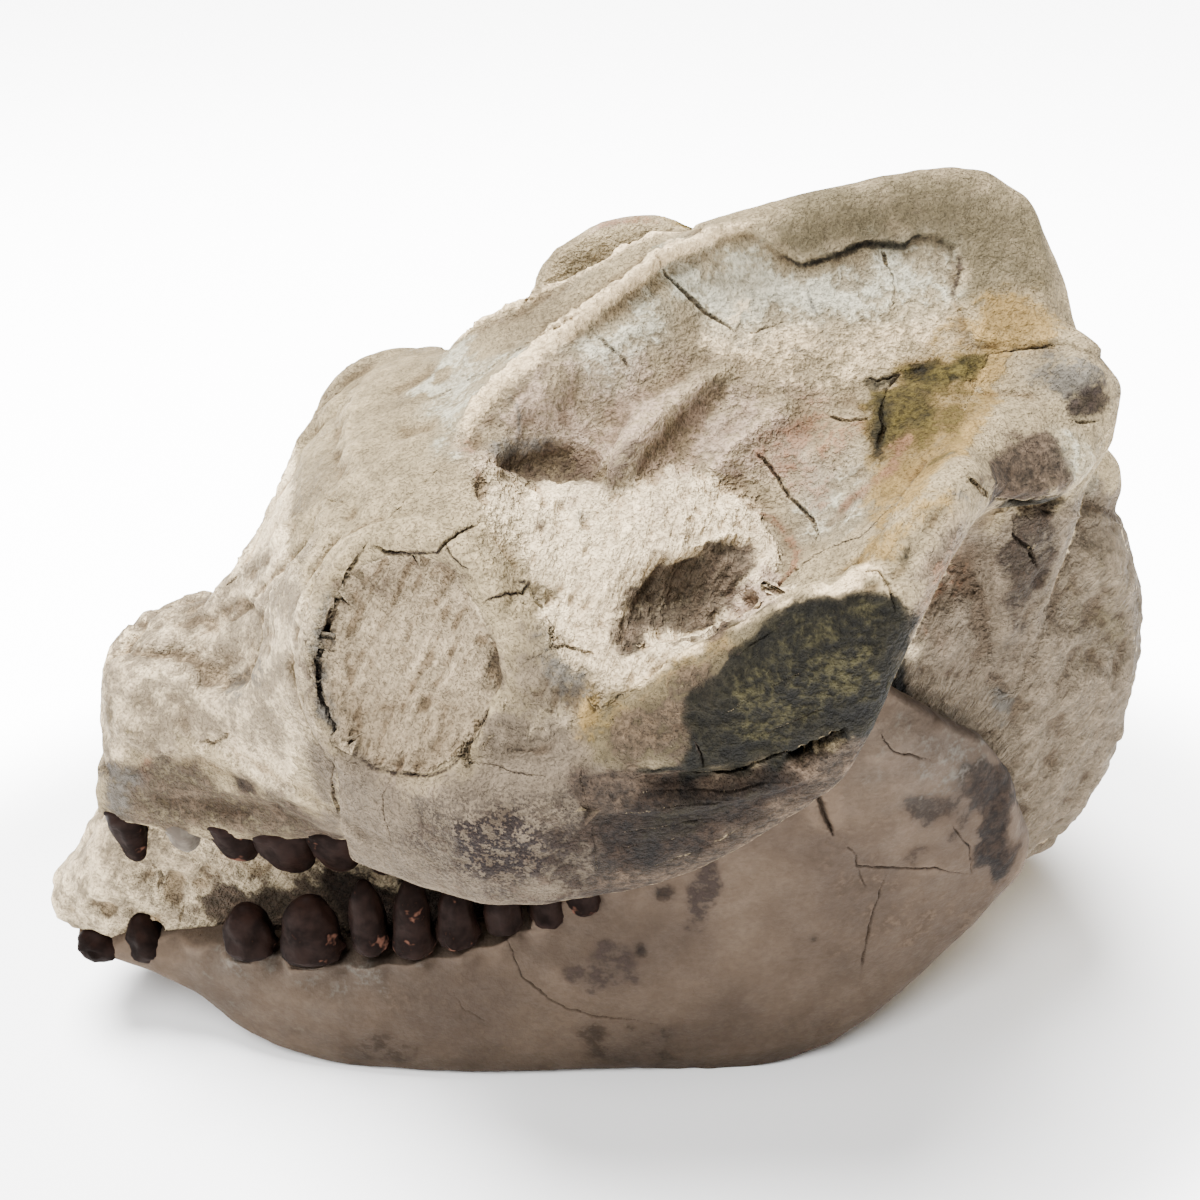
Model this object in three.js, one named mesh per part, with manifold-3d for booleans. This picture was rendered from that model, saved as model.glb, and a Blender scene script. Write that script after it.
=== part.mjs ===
// Fossil oreodont skull with its lower jaws, life size, as it lies on a table: bone with the
// sediment that still fills the eye sockets, the temples, the mouth and the nape.
// Millimetres, +Z up. X runs back from the nose, the left cheek is towards -Y, and heights are
// above the table. The finished group is shifted so that its origin is the bottom centre.

import * as THREE from "three";
import { LoftGeometry } from "three/addons/geometries/LoftGeometry.js";
import { mergeVertices } from "three/addons/utils/BufferGeometryUtils.js";
import Module from "manifold-3d";

const wasm = await Module();
wasm.setup();

// Driving dimensions

const GAP = 0.4; // left between neighbouring pieces
const SLIVER = 0.25; // edges shorter than this are drawn together
const HAIR = 0.02; // edges shorter than this go after the last cut
const LEAST_SLANT = 0.35; // sharpest edge, as a cosine, that a clearance follows in full
const WELD = 1e-4; // points nearer than this are one
const SHORT_STEP = 0.05; // of a station, for the direction of a centre line
const LEFT = -1;
const RIGHT = 1;

// Where thin cuts part the cranium, measured back from the nose.
const SNOUT_BACK = 60;
const FACE_BACK = 100;
const BRAINCASE_BACK = 170;
const CREST_FOOT = { front: [112, 134.5], back: [176, 142] }; // [x, z] of the cut under the crest
const NOSE_BREAK = { low: [21, 63], high: [45, 88] }; // [x, z] of the break between nose fill and bone

// Rings along each loft, and points between two levels of a ring.
const LOFT = {
  cranium: [18, 3],
  shelf: [9, 3],
  temple: [8, 3],
  mouth: [15, 2],
  nape: [9, 3],
};

// Cross-sections of the snout and face, front to back: [half-width, height] of each level.
const FACE_LEVELS = ["ridge", "roof", "brow", "cheek", "gum", "palate"];
const FACE = [
  {
    at: 21.5, ridge: 73, roof: [3.5, 72], brow: [7.5, 68],
    cheek: [10, 61], gum: [10, 55.5], palate: 54.5,
  },
  { at: 26, ridge: 83, roof: [5.5, 81], brow: [11, 74], cheek: [13, 64], gum: [12.5, 54], palate: 53 },
  {
    at: 32, ridge: 88.5, roof: [7.5, 86.5], brow: [13.5, 78],
    cheek: [15, 66], gum: [14.5, 53], palate: 52,
  },
  {
    at: 44, ridge: 92.5, roof: [10, 90.5], brow: [18, 82],
    cheek: [19, 68], gum: [18, 52.5], palate: 52,
  },
  { at: 53, ridge: 103, roof: [13, 101], brow: [25, 91], cheek: [26, 72], gum: [21, 53], palate: 52.5 },
  {
    at: 62, ridge: 115.5, roof: [19, 113], brow: [33.5, 103],
    cheek: [34, 77], gum: [24.5, 55], palate: 54,
  },
  {
    at: 77, ridge: 122, roof: [24, 121.5], brow: [36.5, 116],
    cheek: [46.5, 82], gum: [30, 58], palate: 57,
  },
  {
    at: 88, ridge: 126, roof: [21.5, 124.5], brow: [38, 118],
    cheek: [50, 84], gum: [33, 62], palate: 60,
  },
  { at: 99, ridge: 131, roof: [15, 128], brow: [24, 114], cheek: [50, 90], gum: [34, 66], palate: 63 },
];

// Cross-sections of the braincase with its crest, front to back.
const BRAIN_LEVELS = ["crest", "edge", "flank", "shoulder", "side", "low", "base"];
const BRAIN = [
  {
    at: 84, crest: 123.5, edge: [9, 124], flank: [17, 123.5],
    shoulder: [21, 120], side: [23, 108], low: [20, 85], base: 66,
  },
  {
    at: 97, crest: 131, edge: [7.5, 132.5], flank: [14, 133],
    shoulder: [19, 126], side: [23, 112], low: [22, 90], base: 68,
  },
  {
    at: 108, crest: 137, edge: [6, 139.5], flank: [9.5, 139.5],
    shoulder: [16, 129], side: [25, 114], low: [24, 93], base: 71,
  },
  {
    at: 119, crest: 144.5, edge: [4, 146.6], flank: [6.5, 144],
    shoulder: [15, 130], side: [27.5, 115], low: [26, 95], base: 75,
  },
  {
    at: 129, crest: 149.6, edge: [2.8, 148.8], flank: [4.8, 142],
    shoulder: [14.5, 131], side: [29.5, 116], low: [27, 97], base: 78,
  },
  {
    at: 145, crest: 153.6, edge: [2.4, 152.5], flank: [4.4, 144],
    shoulder: [15, 132], side: [31, 116], low: [28, 98], base: 81,
  },
  {
    at: 160, crest: 156.3, edge: [2.5, 155], flank: [4.8, 146],
    shoulder: [16, 133], side: [32, 117], low: [29, 100], base: 85,
  },
  {
    at: 172, crest: 156.4, edge: [3, 155], flank: [7, 146],
    shoulder: [19, 134], side: [33, 119], low: [29, 101], base: 89,
  },
  {
    at: 181, crest: 152.5, edge: [5, 151], flank: [11, 142],
    shoulder: [21, 132], side: [31, 120], low: [28, 103], base: 93,
  },
  {
    at: 187, crest: 142, edge: [6, 141], flank: [12, 136],
    shoulder: [20, 128], side: [25, 119], low: [22, 106], base: 97,
  },
];

// Cheek arch, from its root under the eye round to the ear: centre line, blade height and thickness.
const ARCH = [
  { x: 68, y: 38, z: 76, height: 26, thick: 13 },
  { x: 86, y: 48.5, z: 74, height: 26, thick: 13 },
  { x: 102, y: 52.5, z: 79.7, height: 32.5, thick: 10.5 },
  { x: 117, y: 55.5, z: 88, height: 40, thick: 9.5 },
  { x: 128, y: 58, z: 97.5, height: 40, thick: 9.5 },
  { x: 136, y: 60, z: 103.5, height: 33, thick: 9.5 },
  { x: 140.5, y: 59.5, z: 114, height: 20, thick: 9 },
  { x: 145, y: 57, z: 123.5, height: 10.5, thick: 8.5 },
  { x: 151, y: 51, z: 126, height: 9.5, thick: 9 },
  { x: 158, y: 41, z: 123.5, height: 11.5, thick: 9.5 },
  { x: 166, y: 28, z: 120, height: 15, thick: 10 },
];
const ARCH_SECTION = { rings: 20, sides: 12, roundness: 2.6 };
const ARCH_ROOT = { at: [154, 45], normal: [0.55, -0.83] }; // cut at the ear end, in plan
const RIGHT_ARCH_FORWARD = 18; // the right arch is crushed forwards and up between its roots
const RIGHT_ARCH_LIFT = 13;

// Lower jaw bones: lower and upper border, outer face and thickness.
const JAW = [
  { x: 9, low: 20.5, high: 24, outer: 9, thick: 9 },
  { x: 16, low: 18.5, high: 24, outer: 11.5, thick: 11.5 },
  { x: 24, low: 15.5, high: 24.5, outer: 14, thick: 14 },
  { x: 31, low: 10.5, high: 25, outer: 17, thick: 16 },
  { x: 37, low: 4.5, high: 25.5, outer: 20.5, thick: 14.5 },
  { x: 45, low: 0.8, high: 25.5, outer: 24.5, thick: 14 },
  { x: 58, low: -0.8, high: 26, outer: 29, thick: 13 },
  { x: 76, low: -0.8, high: 30, outer: 34, thick: 13.5 },
  { x: 92, low: -0.8, high: 37, outer: 37.5, thick: 13.5 },
  { x: 108, low: -0.8, high: 50, outer: 40.5, thick: 12.5 },
  { x: 124, low: -0.8, high: 74, outer: 43, thick: 11 },
  { x: 138, low: -0.4, high: 92, outer: 44.5, thick: 10 },
  { x: 150, low: 4, high: 89, outer: 45, thick: 9 },
  { x: 162, low: 13, high: 79, outer: 44, thick: 8.5 },
  { x: 173, low: 24, high: 71, outer: 42, thick: 8 },
  { x: 181, low: 33, high: 57, outer: 40, thick: 7 },
  { x: 184.5, low: 39, high: 48, outer: 39, thick: 5 },
];
const JAW_SECTION = { rings: 25, sides: 12, foot: 4, top: 3 }; // roundness below and above

// Sediment between the jaws, then sediment at the nape: [half-width, height] of each level.
const FILL_LEVELS = ["top", "upper", "middle", "lower", "under"];
const MOUTH_FILL = [
  { at: 5.5, top: 32, upper: [3, 31], middle: [5, 28.5], lower: [4, 25.5], under: 25 },
  { at: 9, top: 36.5, upper: [6, 35], middle: [8.5, 30], lower: [7.5, 24], under: 23 },
  { at: 14, top: 41, upper: [7.5, 39.5], middle: [10, 33], lower: [9, 23], under: 22 },
  { at: 21, top: 51, upper: [7.5, 49], middle: [9.5, 38], lower: [10, 24], under: 22 },
  { at: 32, top: 53, upper: [8.5, 51], middle: [9.5, 38], lower: [11, 22], under: 20 },
  { at: 46, top: 53, upper: [11, 51], middle: [12.5, 38], lower: [13, 21], under: 17 },
  { at: 58, top: 54, upper: [15, 53], middle: [16.5, 40], lower: [17, 20], under: 14 },
  { at: 76, top: 58, upper: [21, 56], middle: [21, 40], lower: [20, 18], under: 13 },
  { at: 100, top: 68, upper: [25, 66], middle: [25, 44], lower: [24.5, 16], under: 12 },
  { at: 124, top: 78, upper: [30, 77], middle: [31, 48], lower: [29.5, 18], under: 13 },
  { at: 150.5, top: 86, upper: [33, 86], middle: [34.5, 56], lower: [32, 24], under: 18 },
];
const NAPE_FILL = [
  { at: 151, top: 88, upper: [32, 98], middle: [34.5, 66], lower: [31, 26], under: 19 },
  { at: 163, top: 96, upper: [30, 104], middle: [34.3, 66], lower: [31, 24], under: 18 },
  { at: 175, top: 104, upper: [25, 106], middle: [32.3, 66], lower: [30, 24], under: 18 },
  { at: 187, top: 106, upper: [22, 106], middle: [33, 70], lower: [28, 28], under: 20 },
  { at: 198, top: 102, upper: [18.5, 103], middle: [31.5, 73], lower: [26.5, 33], under: 25 },
  { at: 206, top: 95, upper: [14.5, 96], middle: [27.5, 73], lower: [21.5, 44], under: 38 },
  { at: 211.5, top: 88, upper: [10, 88.5], middle: [19.5, 73], lower: [14.5, 57], under: 54 },
];

// Sediment in the temple, between the braincase and the cheek arch: [distance out, height].
const TEMPLE_LEVELS = ["crown", "slope", "rim", "outer", "floor", "inner"];
const TEMPLE = [
  {
    at: 89, crown: [20, 119], slope: [32, 113], rim: [44, 101],
    outer: [46, 86], floor: [38, 76], inner: [18, 84],
  },
  {
    at: 98, crown: [18, 121], slope: [34, 114], rim: [50, 97],
    outer: [50, 84], floor: [38, 75], inner: [18, 85],
  },
  {
    at: 108, crown: [18, 121.5], slope: [35, 116], rim: [53, 99],
    outer: [53, 86], floor: [40, 77], inner: [18, 86],
  },
  {
    at: 120, crown: [20, 120.5], slope: [38, 116], rim: [56, 107],
    outer: [55, 92], floor: [42, 80], inner: [20, 88],
  },
  {
    at: 131, crown: [24, 116], slope: [40, 113], rim: [56, 111.5],
    outer: [56, 98], floor: [42, 84], inner: [22, 92],
  },
];
const TEMPLE_HOLLOW = { centre: [115.5, 46, 113], half: [12.5, 7.5, 9.5] }; // scooped out on the left

// Bone shelf behind the temple, from the braincase out to the cheek arch: [distance out, height].
const SHELF_LEVELS = ["crown", "valley", "rim", "outer", "under"];
const SHELF = [
  { at: 126, crown: [22, 118], valley: [32, 111], rim: [46, 108], outer: [46, 103], under: [22, 102] },
  {
    at: 134, crown: [22, 122], valley: [40, 114],
    rim: [55, 115.5], outer: [55, 106], under: [24, 100],
  },
  { at: 144, crown: [22, 126], valley: [40, 119], rim: [54, 123], outer: [52, 116], under: [26, 103] },
  { at: 154, crown: [22, 129], valley: [36, 124], rim: [45, 127], outer: [44, 117], under: [27, 105] },
  { at: 165, crown: [20, 132], valley: [30, 128], rim: [37, 126], outer: [36, 115], under: [26, 106] },
];

// Eye socket: centre, outward direction and half-sizes along the face and up it.
const SOCKET = { centre: [76.5, 41.5, 100.5], out: [-0.337, 0.899, 0.28], along: 14.5, up: 17.5 };
const SOCKET_FACETS = [20, 8];
const SOCKET_DEPTH = 9;
const SOCKET_RIM = 2.6; // radius of the raised rim
const SOCKET_RIM_FACETS = [5, 20];
const SOCKET_RIM_SINK = 1.2; // the rim is let into the face
const SOCKET_FILL_DEPTH = 2.2; // the fill lies this far inside the rim

// Rounded masses at the back of the skull: centre and half-sizes, on both sides.
const EAR_FLANGE = { centre: [168.5, 33, 123], half: [14.5, 10, 7.5] };
const CONDYLE = { centre: [194, 12, 105], half: [9, 8, 9] };
const MASS_FACETS = [12, 8];

// Nuchal ridge, from the end of the crest down to a knob behind the ear.
const NUCHAL_RIDGE = [
  { x: 174, y: 0, z: 148, radius: 4 },
  { x: 177, y: 7, z: 141, radius: 4 },
  { x: 179, y: 14, z: 134, radius: 4.5 },
  { x: 181.5, y: 21, z: 131, radius: 5.5 },
  { x: 183.5, y: 26, z: 127, radius: 6.8 },
  { x: 180, y: 29, z: 119, radius: 6 },
];
const NUCHAL_SECTION = { rings: 9, sides: 10 };

// Broken ridge on the side of the braincase, from the temple sediment up towards the crest.
const BRAIN_RIDGE = [
  { x: 109.5, y: 27, z: 118.5, radius: 3.4 },
  { x: 111.5, y: 23, z: 120.8, radius: 4.4 },
  { x: 115.5, y: 18.8, z: 124, radius: 4.1 },
  { x: 121, y: 16, z: 127.2, radius: 3.2 },
  { x: 129, y: 13.2, z: 130.8, radius: 2 },
];
const BRAIN_RIDGE_SECTION = { rings: 6, sides: 8 };

// Paroccipital process, a plate that hangs behind the ear and tapers to its tip.
const PAROCCIPITAL = [
  { z: 116, x: 174, y: 30, length: 22, thick: 10 },
  { z: 104, x: 175.5, y: 30.5, length: 17, thick: 9 },
  { z: 90, x: 177.5, y: 30.5, length: 10, thick: 8 },
  { z: 79, x: 177.5, y: 30, length: 5.5, thick: 6 },
  { z: 74, x: 177.5, y: 29.5, length: 3, thick: 3.5 },
];
const PAROCCIPITAL_SECTION = { rings: 6, sides: 10, roundness: 2.4 };

// Teeth, front to back: place, crown length, crown height and number of cusps.
const UPPER_TEETH = [
  { x: 23.5, length: 7.5, height: 11, cusps: 1 },
  { x: 32.5, length: 7, height: 4.5, cusps: 1 },
  { x: 42, length: 9.5, height: 7, cusps: 1 },
  { x: 51.7, length: 9.5, height: 8.5, cusps: 1 },
  { x: 61.3, length: 8.5, height: 9, cusps: 1 },
  { x: 71, length: 11, height: 9, cusps: 2 },
  { x: 83, length: 13, height: 8.5, cusps: 2 },
  { x: 95.5, length: 12, height: 8, cusps: 2 },
];
const LOWER_TEETH = [
  { x: 13.5, length: 7, height: 4.5, cusps: 1 },
  { x: 23, length: 7.5, height: 6.5, cusps: 1 },
  { x: 33, length: 5.5, height: 5, cusps: 1 },
  { x: 42.5, length: 9.5, height: 9, cusps: 1 },
  { x: 54.5, length: 11, height: 13, cusps: 1 },
  { x: 68.5, length: 15, height: 13, cusps: 2 },
  { x: 84, length: 14, height: 9, cusps: 2 },
  { x: 102, length: 19, height: 7, cusps: 3 },
];
const UPPER_CROWN_WIDTH = 7.5;
const LOWER_CROWN_WIDTH = 6.5;
const CROWN_OVERLAP = 1.08; // neighbouring cusps run into each other
const CROWN_SIDES = 6;
const CROWN_BULGE = 0.25; // widest here, as a share of its height
const CROWN_SHOULDER = { radius: 0.6, rise: 0.8 };
const CROWN_NECK = 0.85; // radius at the root, as a share of the widest
const TOOTH_ROOT = 3; // sunk into the bone
const UPPER_ROW_INSET = 3; // middle of a crown, in from the gum's outer face
const LOWER_ROW_INSET = 4.2;
const UPPER_ROW_SINK = 1; // foot of a crown, inside the gum
const LOWER_ROW_SINK = 1.5;
const FACE_TEETH_FROM = SNOUT_BACK - 4; // teeth from here back belong to the face

// Materials

const BONE = new THREE.MeshStandardMaterial({ color: 0xa89a88, roughness: 0.8, metalness: 0 });
const JAWBONE = new THREE.MeshStandardMaterial({ color: 0x8d7d6c, roughness: 0.75, metalness: 0 });
const SEDIMENT = new THREE.MeshStandardMaterial({ color: 0xb5aa97, roughness: 0.95, metalness: 0 });

// Solids

// A closed geometry as a solid, turned right side out if it was wound the other way.
function solidOf(geometry) {
  const bare = new THREE.BufferGeometry().copy(geometry);
  bare.deleteAttribute("normal");
  bare.deleteAttribute("uv");
  const merged = mergeVertices(bare, WELD);
  const vertProperties = Float32Array.from(merged.attributes.position.array);
  const triVerts = Uint32Array.from(merged.index.array);
  const make = () => new wasm.Manifold(new wasm.Mesh({ numProp: 3, vertProperties, triVerts }));
  const made = make();
  if (made.volume() > 0) return made;
  for (let i = 0; i < triVerts.length; i += 3) {
    [triVerts[i + 1], triVerts[i + 2]] = [triVerts[i + 2], triVerts[i + 1]];
  }
  return make();
}

function geometryOf(solid) {
  const { vertProperties, triVerts } = solid.getMesh();
  const geometry = new THREE.BufferGeometry();
  geometry.setAttribute("position", new THREE.BufferAttribute(Float32Array.from(vertProperties), 3));
  geometry.setIndex(new THREE.BufferAttribute(Uint32Array.from(triVerts), 1));
  return geometry;
}

// The solid with every face moved out by a distance, to cut a neighbour clear of it.
function grown(solid, distance = GAP) {
  const geometry = mergeVertices(geometryOf(solid), WELD);
  const { position } = geometry.attributes;
  const place = (i) => new THREE.Vector3().fromBufferAttribute(position, i);
  const facings = Array.from({ length: position.count }, () => []);
  for (let i = 0; i < geometry.index.count; i += 3) {
    const corners = [0, 1, 2].map((k) => geometry.index.getX(i + k));
    const facing = new THREE.Triangle(...corners.map(place)).getNormal(new THREE.Vector3());
    for (const corner of corners) facings[corner].push(facing);
  }
  const moved = facings.map((around, i) => {
    const out = around.reduce((sum, facing) => sum.add(facing), new THREE.Vector3()).normalize();
    const least = Math.min(...around.map((facing) => facing.dot(out)));
    return place(i).addScaledVector(out, distance / Math.max(least, LEAST_SLANT));
  });
  moved.forEach((point, i) => position.setXYZ(i, ...point.toArray()));
  return solidOf(geometry);
}

// The solid with the ends of very short edges drawn together, so that its slivers go.
function tidied(solid, reach = SLIVER) {
  const geometry = mergeVertices(geometryOf(solid), WELD);
  const { position } = geometry.attributes;
  const place = (i) => new THREE.Vector3().fromBufferAttribute(position, i);
  const home = Array.from({ length: position.count }, (_, i) => i);
  const homeOf = (i) => (home[i] === i ? i : homeOf(home[i]));
  const faces = [];
  for (let i = 0; i < geometry.index.count; i += 3) {
    faces.push([0, 1, 2].map((k) => geometry.index.getX(i + k)));
  }
  for (const face of faces) {
    face.forEach((corner, k) => {
      const [a, b] = [homeOf(corner), homeOf(face[(k + 1) % 3])];
      if (a !== b && place(a).distanceTo(place(b)) < reach) home[b] = a;
    });
  }
  const kept = new Map();
  for (const face of faces.map((corners) => corners.map(homeOf))) {
    if (new Set(face).size < 3) continue;
    const name = [...face].sort((a, b) => a - b).join();
    if (kept.has(name)) kept.delete(name);
    else kept.set(name, face);
  }
  geometry.setIndex([...kept.values()].flat());
  return largest(solidOf(geometry));
}

const joined = (...solids) => solids.reduce((whole, piece) => whole.add(piece));

const clearOf = (solid, ...neighbours) =>
  neighbours.reduce((left, other) => left.subtract(grown(other)).subtract(other), solid);

// The largest closed surface, so that scraps and sealed hollows go.
const largest = (solid) =>
  solid.decompose().reduce((best, piece) => (piece.volume() > best.volume() ? piece : best));

// The part of a solid on the side of a plane that its normal points to.
function keep(solid, normal, point) {
  const direction = new THREE.Vector3(...normal).normalize();
  return solid.trimByPlane(direction.toArray(), direction.dot(new THREE.Vector3(...point)));
}

// A thin cut: the pieces in front of the plane and behind it, half a gap back from it each.
function parted(solid, normal, point) {
  const direction = new THREE.Vector3(...normal).normalize();
  const offset = direction.dot(new THREE.Vector3(...point));
  const ahead = solid.trimByPlane(direction.toArray(), offset + GAP / 2);
  const behind = solid.trimByPlane(direction.clone().negate().toArray(), GAP / 2 - offset);
  return [ahead, behind];
}

// Curves and lofts

// A smooth curve through values at rising places.
function smooth(places, values) {
  const slope = (i) => {
    const before = Math.max(i - 1, 0);
    const after = Math.min(i + 1, places.length - 1);
    return (values[after] - values[before]) / (places[after] - places[before]);
  };
  return (place) => {
    let i = 0;
    while (i < places.length - 2 && place > places[i + 1]) i++;
    const span = places[i + 1] - places[i];
    const t = (place - places[i]) / span;
    const rise = values[i + 1] - values[i];
    const ease = t * t * (3 - 2 * t);
    const bend = t * (1 - t) * ((1 - t) * slope(i) - t * slope(i + 1)) * span;
    return values[i] + rise * ease + bend;
  };
}

const curveOf = (stations, key, along) =>
  smooth(stations.map((s) => s[along]), stations.map((s) => s[key]));

// A level of a section, [half-width, height]. A bare height is on the midline.
const levelOf = (station, name) => (Array.isArray(station[name]) ? station[name] : [0, station[name]]);

// A level's curves along the body: half-width and height at any place.
function levelCurve(stations, name) {
  const places = stations.map((s) => s.at);
  const [out, up] = [0, 1].map((k) => smooth(places, stations.map((s) => levelOf(s, name)[k])));
  return (place) => [out(place), up(place)];
}

// A ring of points through a section's levels, in the plane across X.
function ring(x, levels, perLevel) {
  const points = levels.map(([y, z]) => new THREE.Vector3(x, y, z));
  const curve = new THREE.CatmullRomCurve3(points, true, "centripetal");
  return curve.getPoints(points.length * perLevel).slice(0, -1);
}

// A closed loft through rings, wound so that its wall faces out.
function skin(rings) {
  const middle = (points) =>
    points.reduce((sum, p) => sum.add(p), new THREE.Vector3()).divideScalar(points.length);
  const [first, start] = [rings[0], middle(rings[0])];
  const facing = first.reduce((sum, p, i) => {
    const next = first[(i + 1) % first.length];
    return sum.add(new THREE.Vector3().crossVectors(p.clone().sub(start), next.clone().sub(start)));
  }, new THREE.Vector3());
  const travel = middle(rings[1]).sub(start);
  const wound = facing.dot(travel) > 0 ? rings : rings.map((points) => [...points].reverse());
  return solidOf(new LoftGeometry(wound, { capStart: true, capEnd: true }));
}

// Evenly spaced places from the first station to the last.
function places(stations, count) {
  const [first, last] = [stations[0].at, stations[stations.length - 1].at];
  return Array.from({ length: count + 1 }, (_, i) => first + ((last - first) * i) / count);
}

// A body that is alike on both sides of the midline.
function twoSided(stations, names, [count, perLevel]) {
  const curves = names.map((name) => levelCurve(stations, name));
  return skin(
    places(stations, count).map((x) => {
      const half = curves.map((curve) => curve(x));
      const other = half.slice(1, -1).reverse().map(([y, z]) => [-y, z]);
      return ring(x, [...half, ...other], perLevel);
    }),
  );
}

// A body on one side only, whose levels run all the way round it.
function oneSided(stations, names, [count, perLevel], side) {
  const curves = names.map((name) => levelCurve(stations, name));
  return skin(
    places(stations, count).map((x) =>
      ring(x, curves.map((curve) => curve(x)).map(([y, z]) => [y * side, z]), perLevel),
    ),
  );
}

// A point round a rounded oblong of half-sizes 1: roundness 2 is an ellipse, more is squarer.
function oblong(angle, roundness) {
  const bulge = (v) => Math.sign(v) * Math.abs(v) ** (2 / roundness);
  return [bulge(Math.cos(angle)), bulge(Math.sin(angle))];
}

const angles = (count) => Array.from({ length: count }, (_, i) => (2 * Math.PI * (i + 0.5)) / count);

function ellipsoid({ centre, half }, side) {
  const ball = new THREE.SphereGeometry(1, ...MASS_FACETS);
  ball.scale(...half);
  ball.translate(centre[0], centre[1] * side, centre[2]);
  return solidOf(ball);
}

// A fill cut clear of its neighbours, with what its tidying brought back onto them cut away.
function bedded(solid, ...neighbours) {
  const cleared = tidied(clearOf(solid, ...neighbours));
  return tidied(neighbours.reduce((left, other) => left.subtract(other), cleared), HAIR);
}

// Bones

// The cheek arch as one blade, swept along its centre line with its height upright.
function archBlade(side) {
  const { rings: count, sides, roundness } = ARCH_SECTION;
  const steps = ARCH.map((_, i) => i);
  const [x, y, z, height, thick] = ["x", "y", "z", "height", "thick"].map((key) =>
    smooth(steps, ARCH.map((s) => s[key])),
  );
  const crushed = (step) => (side === RIGHT ? Math.sin((Math.PI * step) / (ARCH.length - 1)) ** 2 : 0);
  const centre = (step) =>
    new THREE.Vector3(
      x(step) - RIGHT_ARCH_FORWARD * crushed(step),
      y(step) * side,
      z(step) + RIGHT_ARCH_LIFT * crushed(step),
    );
  const rings = [];
  for (let i = 0; i <= count; i++) {
    const step = ((ARCH.length - 1) * i) / count;
    const travel = centre(step + SHORT_STEP).sub(centre(step - SHORT_STEP)).setZ(0).normalize();
    const across = new THREE.Vector3(-travel.y, travel.x, 0);
    rings.push(
      angles(sides).map((angle) => {
        const [u, v] = oblong(angle, roundness);
        return centre(step)
          .addScaledVector(across, (u * thick(step)) / 2)
          .add(new THREE.Vector3(0, 0, (v * height(step)) / 2));
      }),
    );
  }
  return skin(rings);
}

// Directions of an eye socket: along the face, up the face and out of it.
function socketAxes(side) {
  const out = new THREE.Vector3(SOCKET.out[0], SOCKET.out[1] * side, SOCKET.out[2]).normalize();
  const along = new THREE.Vector3().crossVectors(new THREE.Vector3(0, 0, 1), out).normalize();
  const up = new THREE.Vector3().crossVectors(out, along);
  const centre = new THREE.Vector3(SOCKET.centre[0], SOCKET.centre[1] * side, SOCKET.centre[2]);
  return new THREE.Matrix4().makeBasis(along, up, out).setPosition(centre);
}

function socketRim(side) {
  const rim = new THREE.TorusGeometry(1, SOCKET_RIM / SOCKET.up, ...SOCKET_RIM_FACETS);
  rim.scale(SOCKET.along + SOCKET_RIM / 2, SOCKET.up + SOCKET_RIM / 2, SOCKET.up);
  rim.translate(0, 0, -SOCKET_RIM_SINK);
  return solidOf(rim.applyMatrix4(socketAxes(side)));
}

// A shallow bowl in the face, or the fill that lies in it.
function socketBowl(side, inset, depth, crown) {
  const bowl = new THREE.SphereGeometry(1, ...SOCKET_FACETS);
  const position = bowl.attributes.position;
  for (let i = 0; i < position.count; i++) {
    const z = position.getZ(i);
    position.setZ(i, z < 0 ? z * depth : z * crown);
  }
  bowl.scale(SOCKET.along - inset, SOCKET.up - inset, 1);
  return solidOf(bowl.applyMatrix4(socketAxes(side)));
}

// A rounded ridge along a centre line.
function ridge(stations, { rings: count, sides }, side) {
  const steps = stations.map((_, i) => i);
  const [x, y, z, radius] = ["x", "y", "z", "radius"].map((key) =>
    smooth(steps, stations.map((s) => s[key])),
  );
  const centre = (step) => new THREE.Vector3(x(step), y(step) * side, z(step));
  const rings = [];
  for (let i = 0; i <= count; i++) {
    const step = ((stations.length - 1) * i) / count;
    const travel = centre(step + SHORT_STEP).sub(centre(step - SHORT_STEP)).normalize();
    const back = new THREE.Vector3(1, 0, 0).cross(travel).normalize();
    const up = new THREE.Vector3().crossVectors(travel, back);
    rings.push(
      angles(sides).map((angle) =>
        centre(step)
          .addScaledVector(back, Math.cos(angle) * radius(step))
          .addScaledVector(up, Math.sin(angle) * radius(step)),
      ),
    );
  }
  return skin(rings);
}

function paroccipital(side) {
  const { rings: count, sides, roundness } = PAROCCIPITAL_SECTION;
  const curves = ["x", "y", "length", "thick"].map((key) => {
    const rising = [...PAROCCIPITAL].reverse();
    return smooth(rising.map((s) => s.z), rising.map((s) => s[key]));
  });
  const [top, tip] = [PAROCCIPITAL[0].z, PAROCCIPITAL[PAROCCIPITAL.length - 1].z];
  const rings = [];
  for (let i = 0; i <= count; i++) {
    const z = tip + ((top - tip) * i) / count;
    const [x, y, length, thick] = curves.map((curve) => curve(z));
    rings.push(
      angles(sides).map((angle) => {
        const [u, v] = oblong(angle, roundness);
        return new THREE.Vector3(x + (u * length) / 2, (y + (v * thick) / 2) * side, z);
      }),
    );
  }
  return skin(rings);
}

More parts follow.
